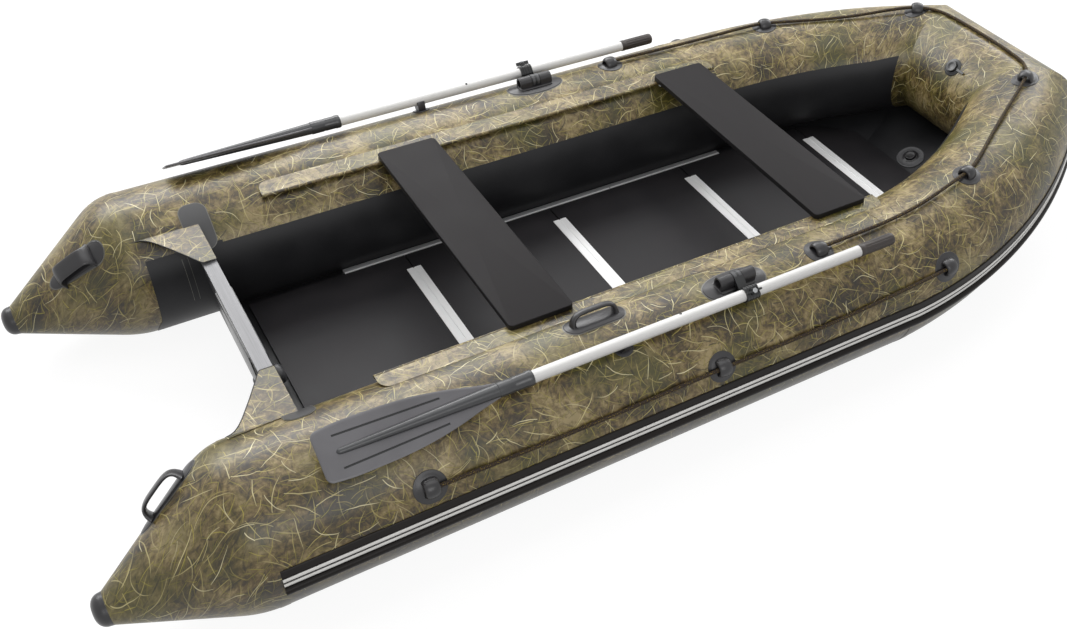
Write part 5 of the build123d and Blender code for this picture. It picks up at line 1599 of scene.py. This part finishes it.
# ---------------------------------------------------------------- fittings
@dataclass
class Fittings:
    """Carry handles, rope eyelets, valves and stern caps, all glued to the cloth."""

    hull: Hull
    handle_length: float = 0.170
    handle_width: float = 0.062
    handle_rise: float = 0.042
    handle_foot: float = 0.055
    carry_bar: tuple[float, float] = (0.020, 0.012)
    stern_bar: tuple[float, float] = (0.052, 0.011)
    eyelet_radius: float = 0.046
    arch_width: float = 0.056
    arch_height: float = 0.031
    arch_reach: float = 0.021
    arch_wall: float = 0.0034
    carry_angle: float = math.radians(98.0)
    carry_grow: float = 1.1
    stern_share: float = -0.43  # of the cone's length
    stern_angle: float = math.radians(123.0)
    bow_valve_y: float = -0.030
    bow_valve_angle: float = math.radians(140.0)
    cap_waves: int = 20
    climb: tuple[float, ...] = (1.283, 0.0755, 1.4604, 0.1469)  # two places on the bottom's climb, x and z

    def handle(self, run: float, angle: float, grow: float,
               bar: tuple[float, float]) -> tuple[Surface, Surface]:
        """A moulded handle and its welded rim, with its sizes grown by a factor.

        Formula: the bar's middle line rises as one less a power of its share from the middle, and the bar is a
        flattened oval that widens at its feet.
        Args:
            run, angle: its place on the port tube.
            grow: the factor on its base's size and its rise.
            bar: the bar's breadth and depth.
        Returns:
            The handle and its rim.
        """
        slot = grow * rounded(self.handle_length, self.handle_width, self.handle_width / 2 - 0.0005, 16)
        base = self.hull.bent(pillow(slot, np.array([
            [0.0, -0.001], [0.0, 0.0014], [0.0010, 0.0026], [0.004, 0.0033], [0.0075, 0.0036], [0.009, 0.0044],
        ])), run, angle)
        rim_steps = np.array([[-0.0030, -0.001], [-0.0030, 0.0006], [0.0006, 0.0010]])
        rim = self.hull.bent(pillow(slot, rim_steps), run, angle)
        origin, along, out = self.hull.spot(run, angle)
        share = np.linspace(-1, 1, 44)
        x = grow * (self.handle_foot + 0.006) * np.sin(share * math.pi / 2)
        z = 0.002 + (grow * self.handle_rise - bar[1] / 2 - 0.002) * (1 - np.abs(share) ** 3.4)
        path = origin + x[:, None] * along + z[:, None] * out
        left, up = frames(path, out)
        flare = 1 + 0.55 * np.abs(share) ** 6
        loops = oval(*bar, 2.3, 28)[None] * flare[:, None, None]
        return base.joined(carried(loops, path, left, up)), rim

    def build_handles(self) -> None:
        """A carry handle on the starboard tube's top, which the port one lacks, and one on each stern cone."""
        low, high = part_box("carry_handles")
        middle = self.hull.run((low.x + high.x) / 2)
        carry = self.handle(middle, self.carry_angle, self.carry_grow, self.carry_bar)
        stern = self.handle(self.stern_share * self.hull.cone_length, self.stern_angle, 1.0, self.stern_bar)
        for name, (body, rim) in (("carry_handles", [part.mirrored(Side.STARBOARD) for part in carry]),
                                  ("stern_handles", [part.both() for part in stern])):
            body.piece(f"{name}_moulding", MOULDED, replaces=(name,), smooth=40.0)
            rim.piece(f"{name}_weld", WELD)

    def eyelet(self, run: float, angle: float) -> Surface:
        """A rope eyelet: a dished disc and a shell-like arch.

        Formula: the arch is a half oval at each station along the rope; its size falls towards both mouths as
        the root of one less the squared share, and it is a wall's thickness deep.
        Args:
            run, angle: its place on the port tube.
        Returns:
            The port eyelet.
        """
        disc = self.hull.bent(pillow(oval(2 * self.eyelet_radius, 2 * self.eyelet_radius, count=56), np.array([
            [0.0, -0.001], [0.0, 0.001], [0.0008, 0.0019], [0.005, 0.0024], [0.011, 0.0026], [0.013, 0.0036],
        ])), run, angle)
        origin, along, out = self.hull.spot(run, angle)
        across = np.cross(out, along)
        share = np.linspace(-1, 1, 21)
        grow = 0.72 + 0.28 * np.sqrt(1 - 0.98 * share**2)
        turn = np.linspace(0, math.pi, 25)
        half, high = self.arch_width / 2, self.arch_height

        def shell(inset: float) -> Array:
            """One face of the arch, drawn in by the wall's thickness."""
            y = (half * grow[:, None] - inset) * np.cos(turn)
            z = (high * grow[:, None] - inset) * np.sin(turn) ** 0.85
            x = np.broadcast_to(share[:, None] * self.arch_reach, y.shape)
            return origin + x[..., None] * along + y[..., None] * across + z[..., None] * out

        return disc.joined(Surface.slab(shell(0.0), shell(self.arch_wall)))

    def build_eyelets(self, places: list[tuple[float, float]]) -> None:
        """Every eyelet, from its run and angle on the port tube."""
        first, *others = [self.eyelet(run, angle) for run, angle in places]
        first.joined(*others).both().piece("rope_eyelets", MOULDED, replaces=("line_eyelets",), smooth=40.0)

    def build_caps(self) -> None:
        """The moulded tips of the stern cones."""
        low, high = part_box("stern_caps")
        depth = high.x - low.x
        r = self.hull.cone_tip_radius
        turn = np.linspace(0, math.pi / 2, 16)
        reach, rise = (r + 0.0006) * np.cos(turn) ** 0.72, 0.004 + (depth - 0.004) * np.sin(turn)
        dome = np.stack([reach, rise], axis=-1)[:-1]
        profile = np.vstack([[(r + 0.0016, -0.012), (r + 0.0026, -0.010), (r + 0.0010, 0.002)], dome])
        y = self.hull.axis_offset + self.hull.cone_splay
        z = self.hull.tube_radius - self.hull.cone_drop
        cap = placed(spun(profile), np.array([high.x, y, z]), TO_PORT, -AHEAD)
        cap.both().piece("cone_caps", MOULDED, replaces=("stern_caps",), smooth=50.0)

    def valve(self) -> Surface:
        """An inflation valve: a welded disc, a raised seat and a screw cap with a grip's ribs.

        Formula: the cap's rim is a circle with a cosine added, one wave for each rib.
        """
        seat = spun(np.array([
            (0.033, -0.004), (0.033, 0.0012), (0.0315, 0.0024), (0.027, 0.003), (0.0262, 0.0046),
            (0.0245, 0.0054), (0.0225, 0.0056), (0.0215, 0.005), (0.004, 0.005),
        ]))
        turn = full_turn(160)
        wave = 1 + 0.022 * np.cos(self.cap_waves * turn)
        rows = np.array([(0.020, 0.0045), (0.020, 0.011), (0.0188, 0.0132), (0.015, 0.0138), (0.012, 0.0126),
                         (0.002, 0.0126)])
        gain = np.array([1.0, 1.0, 0.6, 0.0, 0.0, 0.0])[:, None]
        reach = rows[:, :1] * (1 + (wave - 1)[None] * gain)
        height = np.broadcast_to(rows[:, 1:], reach.shape)
        cap = np.stack([reach * np.cos(turn), reach * np.sin(turn), height], axis=-1)
        return seat.joined(Surface.grid(cap, ring=True, caps=True))

    def build_valves(self) -> None:
        """The bow valve with its cap's strap, and the keel valve on its plate."""
        angle = self.bow_valve_angle
        out = np.array([math.cos(angle), 0.0, math.sin(angle)])
        centre = np.array([self.hull.corner_x, self.bow_valve_y, self.hull.tube_radius + self.hull.bow_rise])
        origin = centre + out * self.hull.bow_radius
        strap_plan = rounded(0.050, 0.009, 0.0044, 8) + np.array([0.034, 0.0])
        strap = pillow(strap_plan, np.array([[0.0, 0.0040], [0.0, 0.0064], [0.0008, 0.0070]]))
        bow = placed(self.valve().joined(strap), origin, -TO_PORT, out)
        bow.piece("bow_valve_moulding", NYLON, replaces=("bow_air_valve",), smooth=35.0)
        low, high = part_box("keel_air_valve")
        start_x, start_z, end_x, end_z = self.climb
        slope = math.atan2(end_z - start_z, end_x - start_x)
        normal = np.array([-math.sin(slope), 0.0, math.cos(slope)])
        ahead = np.array([math.cos(slope), 0.0, math.sin(slope)])
        place = (low.x + high.x) / 2
        climb = (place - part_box("floor_panel_5")[1].x) * math.tan(slope)
        middle = np.array([place, 0.0, start_z + climb]) + normal * 0.0012
        plate = placed(pillow(oval(0.104, 0.108, 2.1, 56), np.array([
            [0.0, -0.003], [0.0, 0.0012], [0.0012, 0.0026], [0.0045, 0.003], [0.006, 0.0022], [0.014, 0.0022],
        ])), middle, ahead, normal)
        keel = placed(self.valve(), middle, ahead, normal)
        plate.piece("keel_valve_plate", GREY_RUBBER, smooth=35.0)
        keel.piece("keel_valve_moulding", MOULDED, replaces=("keel_air_valve",), smooth=35.0)

    def build(self) -> None:
        """Everything but the eyelets, whose places the ropes give."""
        self.build_handles()
        self.build_caps()
        self.build_valves()


# ---------------------------------------------------------------- grab lines
@dataclass
class GrabLines:
    """The ropes along the outer sides and round the bow, through their eyelets."""

    hull: Hull
    radius: float = 0.0058
    lift: float = 0.0135
    rest: float = 0.0064
    lead: float = 0.040
    tail: float = 0.004
    side_angle: float = 27.0    # degrees
    top_angle: float = 83.0     # degrees
    aft_eyelet: float = 0.818   # ahead of the stern
    middle_eyelet: float = 0.148    # aft of the clamp
    top_eyelet: float = 0.308   # ahead of the clamp
    bow_share: tuple[float, float, float] = (0.11, 0.364, 0.93)

    def bow_run(self, share: float) -> float:
        """The run at a share of the bow quarter's turn."""
        return self.hull.side_length + share * self.hull.arc_length

    def eyelets(self) -> list[tuple[float, float]]:
        """The run and angle of each port eyelet: three along the side, then three over the top."""
        low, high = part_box("port_oar_collar")
        clamp = (low.x + high.x) / 2
        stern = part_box("stern_caps")[0].x
        places = [
            (self.hull.run(stern + self.aft_eyelet), self.side_angle),
            (self.hull.run(clamp - self.middle_eyelet), self.side_angle),
            (self.bow_run(self.bow_share[0]), self.side_angle + 3),
            (self.hull.run(clamp + self.top_eyelet), self.top_angle),
            (self.bow_run(self.bow_share[1]), self.top_angle + 3),
            (self.bow_run(self.bow_share[2]), self.top_angle + 9),
        ]
        return [(run, math.radians(angle)) for run, angle in places]

    def at(self, place: tuple[float, float], ahead: float = 0.0, lift: float | None = None) -> Array:
        """A point over an eyelet, moved along its own direction."""
        origin, along, out = self.hull.spot(*place)
        return origin + along * ahead + out * (self.lift if lift is None else lift)

    def side_route(self) -> Array:
        """Points of the port side line, from its aft knot to its fore knot."""
        aft, middle, fore = self.eyelets()[:3]
        first_rest = ((aft[0] + middle[0]) / 2, math.radians(self.side_angle - 2))
        second_rest = ((middle[0] + fore[0]) / 2, math.radians(self.side_angle - 1))
        return np.array([
            self.at(aft, -self.tail), self.at(aft, self.lead), self.at(first_rest, lift=self.rest),
            self.at(middle, -self.lead), self.at(middle, self.lead), self.at(second_rest, lift=self.rest),
            self.at(fore, -self.lead), self.at(fore, self.tail),
        ])

    def bow_route(self) -> Array:
        """Points of the line round the bow, from the port knot to the starboard one."""
        aft, middle, fore = self.eyelets()[3:]
        first_rest = (self.bow_run(0.08), math.radians(self.top_angle + 1))
        second_rest = (self.bow_run(0.65), math.radians(self.top_angle + 14))
        corner = np.array([
            self.hull.corner_x + self.radius, self.hull.corner_offset - 1.5 * self.lead,
            self.hull.tube_radius + self.hull.bow_rise + self.hull.bow_radius + self.rest,
        ])
        half = np.array([
            self.at(aft, -self.tail), self.at(aft, self.lead), self.at(first_rest, lift=self.rest),
            self.at(middle, -self.lead), self.at(middle, self.lead), self.at(second_rest, lift=self.rest),
            self.at(fore, -self.lead), self.at(fore, self.lead), corner,
        ])
        return np.vstack([half, half[::-1] * np.array([1.0, -1.0, 1.0])])

    def smooth_line(self, name: str, route: Array) -> Array:
        """The route's smooth line.

        Formula: a quadratic NURBS curve with the route's points as its control points, ending on the end ones.
        Args:
            name: a name for the curve while it is used.
            route: the points, one row of 3 each.
        Returns:
            Points close together along the line.
        """
        curve = bpy.data.curves.new(name, "CURVE")
        curve.dimensions = "3D"
        spline = curve.splines.new("NURBS")
        spline.points.add(len(route) - 1)
        spline.points.foreach_set("co", np.hstack([route, np.ones((len(route), 1))]).astype(np.float32).ravel())
        spline.order_u = 3
        spline.use_endpoint_u = True
        spline.resolution_u = 40
        holder = bpy.data.objects.new(name, curve)
        mesh = bpy.data.meshes.new_from_object(holder)
        line = np.empty(len(mesh.vertices) * 3, np.float32)
        mesh.vertices.foreach_get("co", line)
        bpy.data.objects.remove(holder)
        bpy.data.meshes.remove(mesh)
        return line.reshape(-1, 3).astype(float)

    def rope(self, line: Array) -> Surface:
        """The rope.

        Formula: a circle carried along the line, resampled every 4 mm.
        Args:
            line: the rope's middle line.
        Returns:
            The closed surface.
        """
        gaps = np.linalg.norm(np.diff(line, axis=0), axis=1)
        along = np.concatenate([[0], np.cumsum(gaps)])
        even = np.linspace(0, along[-1], int(along[-1] / 0.004))
        path = np.stack([np.interp(even, along, line[:, k]) for k in range(3)], axis=-1)
        left, up = frames(path, UP)
        turn = full_turn(16)
        shape = carried(self.radius * circle(turn), path, left, up)
        flat = np.stack(np.broadcast_arrays(even[:, None], (turn * self.radius)[None]), axis=-1).reshape(-1, 2)
        shape.flat[:len(flat)] = flat
        return shape

    def knot(self, point: Array, ahead: Array) -> Surface:
        """A stopper knot at a rope's end.

        Formula: a turned shape whose radius swells as the root of a sine, with a waist at each strand.
        Args:
            point: its middle.
            ahead: the rope's direction there.
        Returns:
            The knot.
        """
        share = np.linspace(0.02, 0.98, 24)
        reach = 0.0095 * np.sin(math.pi * share) ** 0.5 * (1 - 0.13 * np.cos(6 * math.pi * share))
        profile = np.stack([reach, (share - 0.5) * 0.022], axis=-1)
        across = np.cross(UP, ahead)
        return placed(spun(profile, 24), point, across / np.linalg.norm(across), ahead)

    def build(self) -> None:
        """The three lines with a stopper knot at each end."""
        port = self.side_route()
        routes = {
            "port_side_grab_line": port,
            "starboard_side_grab_line": port * np.array([1.0, -1.0, 1.0]),
            "bow_grab_line": self.bow_route(),
        }
        for name, route in routes.items():
            line = self.smooth_line(name, route)
            cord = self.rope(line).piece(f"{name}_rope", CORD, replaces=(name,))
            for number, (point, before) in enumerate(((line[0], line[4]), (line[-1], line[-5]))):
                ahead = (point - before) / np.linalg.norm(point - before)
                self.knot(point, ahead).piece(f"{name}_knot_{number + 1}", CORD)


# ---------------------------------------------------------------- studio
@dataclass
class Studio:
    """Floor, lights and the camera, whose place is given from the stern and whose axes are unit directions."""

    camera_from_stern: tuple[float, float, float] = (0.2285, -2.6924, 2.6091)
    right: tuple[float, float, float] = (0.84992, -0.52564, 0.03653)
    up: tuple[float, float, float] = (0.32973, 0.58466, 0.74125)
    forward: tuple[float, float, float] = (0.41099, 0.61796, -0.67023)
    lens: float = 39.563
    shift: tuple[float, float] = (-0.119, 0.0159)
    world_light: float = 0.44   # strength of the surround on the object; the eye sees it at 1
    floor_glow: float = 0.90
    floor_half: float = 30.0

    def build_camera(self) -> None:
        """The camera."""
        camera = bpy.data.objects.new("camera", bpy.data.cameras.new("camera"))
        bpy.context.scene.collection.objects.link(camera)
        camera.data.lens = self.lens
        camera.data.shift_x, camera.data.shift_y = self.shift
        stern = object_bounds()[0][0]
        columns = [Vector(self.right), Vector(self.up), -Vector(self.forward)]
        turn = Matrix([[c[k] for c in columns] for k in range(3)]).to_4x4()
        x, y, z = self.camera_from_stern
        camera.matrix_world = Matrix.Translation((stern + x, y, z)) @ turn
        bpy.context.scene.camera = camera

    def white_rays(self, tree: bpy.types.NodeTree) -> Socket:
        """1 for a ray from the camera, a gloss or a glass, and 0 for light on the object."""
        rays = node(tree, "ShaderNodeLightPath")
        seen = rays["Is Camera Ray"]
        for name in ("Is Glossy Ray", "Is Transmission Ray"):
            seen = node(tree, MATH, {0: seen, 1: rays[name]}, operation="MAXIMUM")[0]
        return seen

    def build_world(self) -> None:
        """A white surround that lights the object plainly."""
        world = bpy.data.worlds.new("studio")
        bpy.context.scene.world = world
        world.use_nodes = True
        tree = world.node_tree
        tree.nodes.clear()
        strength = node(tree, MATH, {0: self.white_rays(tree), 1: 1 - self.world_light, 2: self.world_light},
                        operation="MULTIPLY_ADD")[0]
        glow = node(tree, "ShaderNodeBackground", {"Color": (1.0, 1.0, 1.0, 1.0), "Strength": strength})
        node(tree, "ShaderNodeOutputWorld", {"Surface": glow[0]})

    def build_floor(self) -> None:
        """A white floor that keeps the object's soft shadow."""
        size = self.floor_half
        mesh = bpy.data.meshes.new("floor")
        corners = [(-size, -size, 0), (size, -size, 0), (-size, size, 0), (size, size, 0)]
        mesh.from_pydata(corners, [], [(0, 1, 3, 2)])
        floor = bpy.data.objects.new("floor", mesh)
        bpy.context.scene.collection.objects.link(floor)
        made = bpy.data.materials.new("White studio floor")
        made.use_nodes = True
        tree = made.node_tree
        tree.nodes.clear()
        matt = node(tree, "ShaderNodeBsdfDiffuse", {"Color": linear("#6e6e6e")})
        seen = self.white_rays(tree)
        strength = node(tree, MATH, {0: seen, 1: self.floor_glow}, operation="MULTIPLY")[0]
        glow = node(tree, "ShaderNodeEmission", {"Color": (1.0, 1.0, 1.0, 1.0), "Strength": strength})
        both = node(tree, "ShaderNodeAddShader", {0: matt[0], 1: glow[0]})
        node(tree, "ShaderNodeOutputMaterial", {"Surface": both[0]})
        mesh.materials.append(made)
        floor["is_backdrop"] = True

    def build_lights(self) -> None:
        """A wide soft lamp overhead, two that glance off the cloth from the far side, and two for fill."""
        lamps = (
            # name, place, aim, width, depth, power in watts
            ("overhead", (0.0, 0.2, 4.4), (0.0, 0.0, 0.3), 5.0, 2.6, 60.0),
            ("far_high", (0.3, 3.6, 4.4), (0.0, 0.0, 0.4), 6.5, 1.2, 140.0),
            ("far_low", (-1.1, 5.4, 3.9), (-0.7, 0.2, 0.4), 7.0, 2.2, 270.0),
            ("bow_side", (4.5, 1.6, 2.7), (0.9, 0.0, 0.4), 2.6, 1.4, 85.0),
            ("near_side", (-1.5, -5.0, 3.0), (0.0, 0.0, 0.2), 3.5, 2.0, 80.0),
        )
        for name, place, aim, width, depth, power in lamps:
            light = bpy.data.lights.new(name, "AREA")
            light.shape = "RECTANGLE"
            light.size, light.size_y, light.energy = width, depth, power
            lamp = bpy.data.objects.new(name, light)
            bpy.context.scene.collection.objects.link(lamp)
            lamp.location = place
            lamp.rotation_euler = (Vector(aim) - Vector(place)).to_track_quat("-Z", "Y").to_euler()

    def build(self) -> None:
        """Everything round the object."""
        self.build_camera()
        self.build_world()
        self.build_floor()
        self.build_lights()
        bpy.context.scene.view_settings.view_transform = "Standard"


def main() -> None:
    """Build the looks in order."""
    logging.basicConfig(level=logging.INFO, format="%(message)s")
    Studio().build()
    hull = Hull()
    hull.build_tubes()
    hull.build_panels()
    hull.build_rub_rail()
    Bottom(hull).build()
    Floor().build()
    Transom(hull).build()
    seats = Seats(hull)
    seats.build_rails()
    seats.build_boards()
    Oars(hull).build()
    lines = GrabLines(hull)
    fittings = Fittings(hull)
    fittings.build()
    fittings.build_eyelets(lines.eyelets())
    lines.build()


if __name__ == "__main__":
    main()
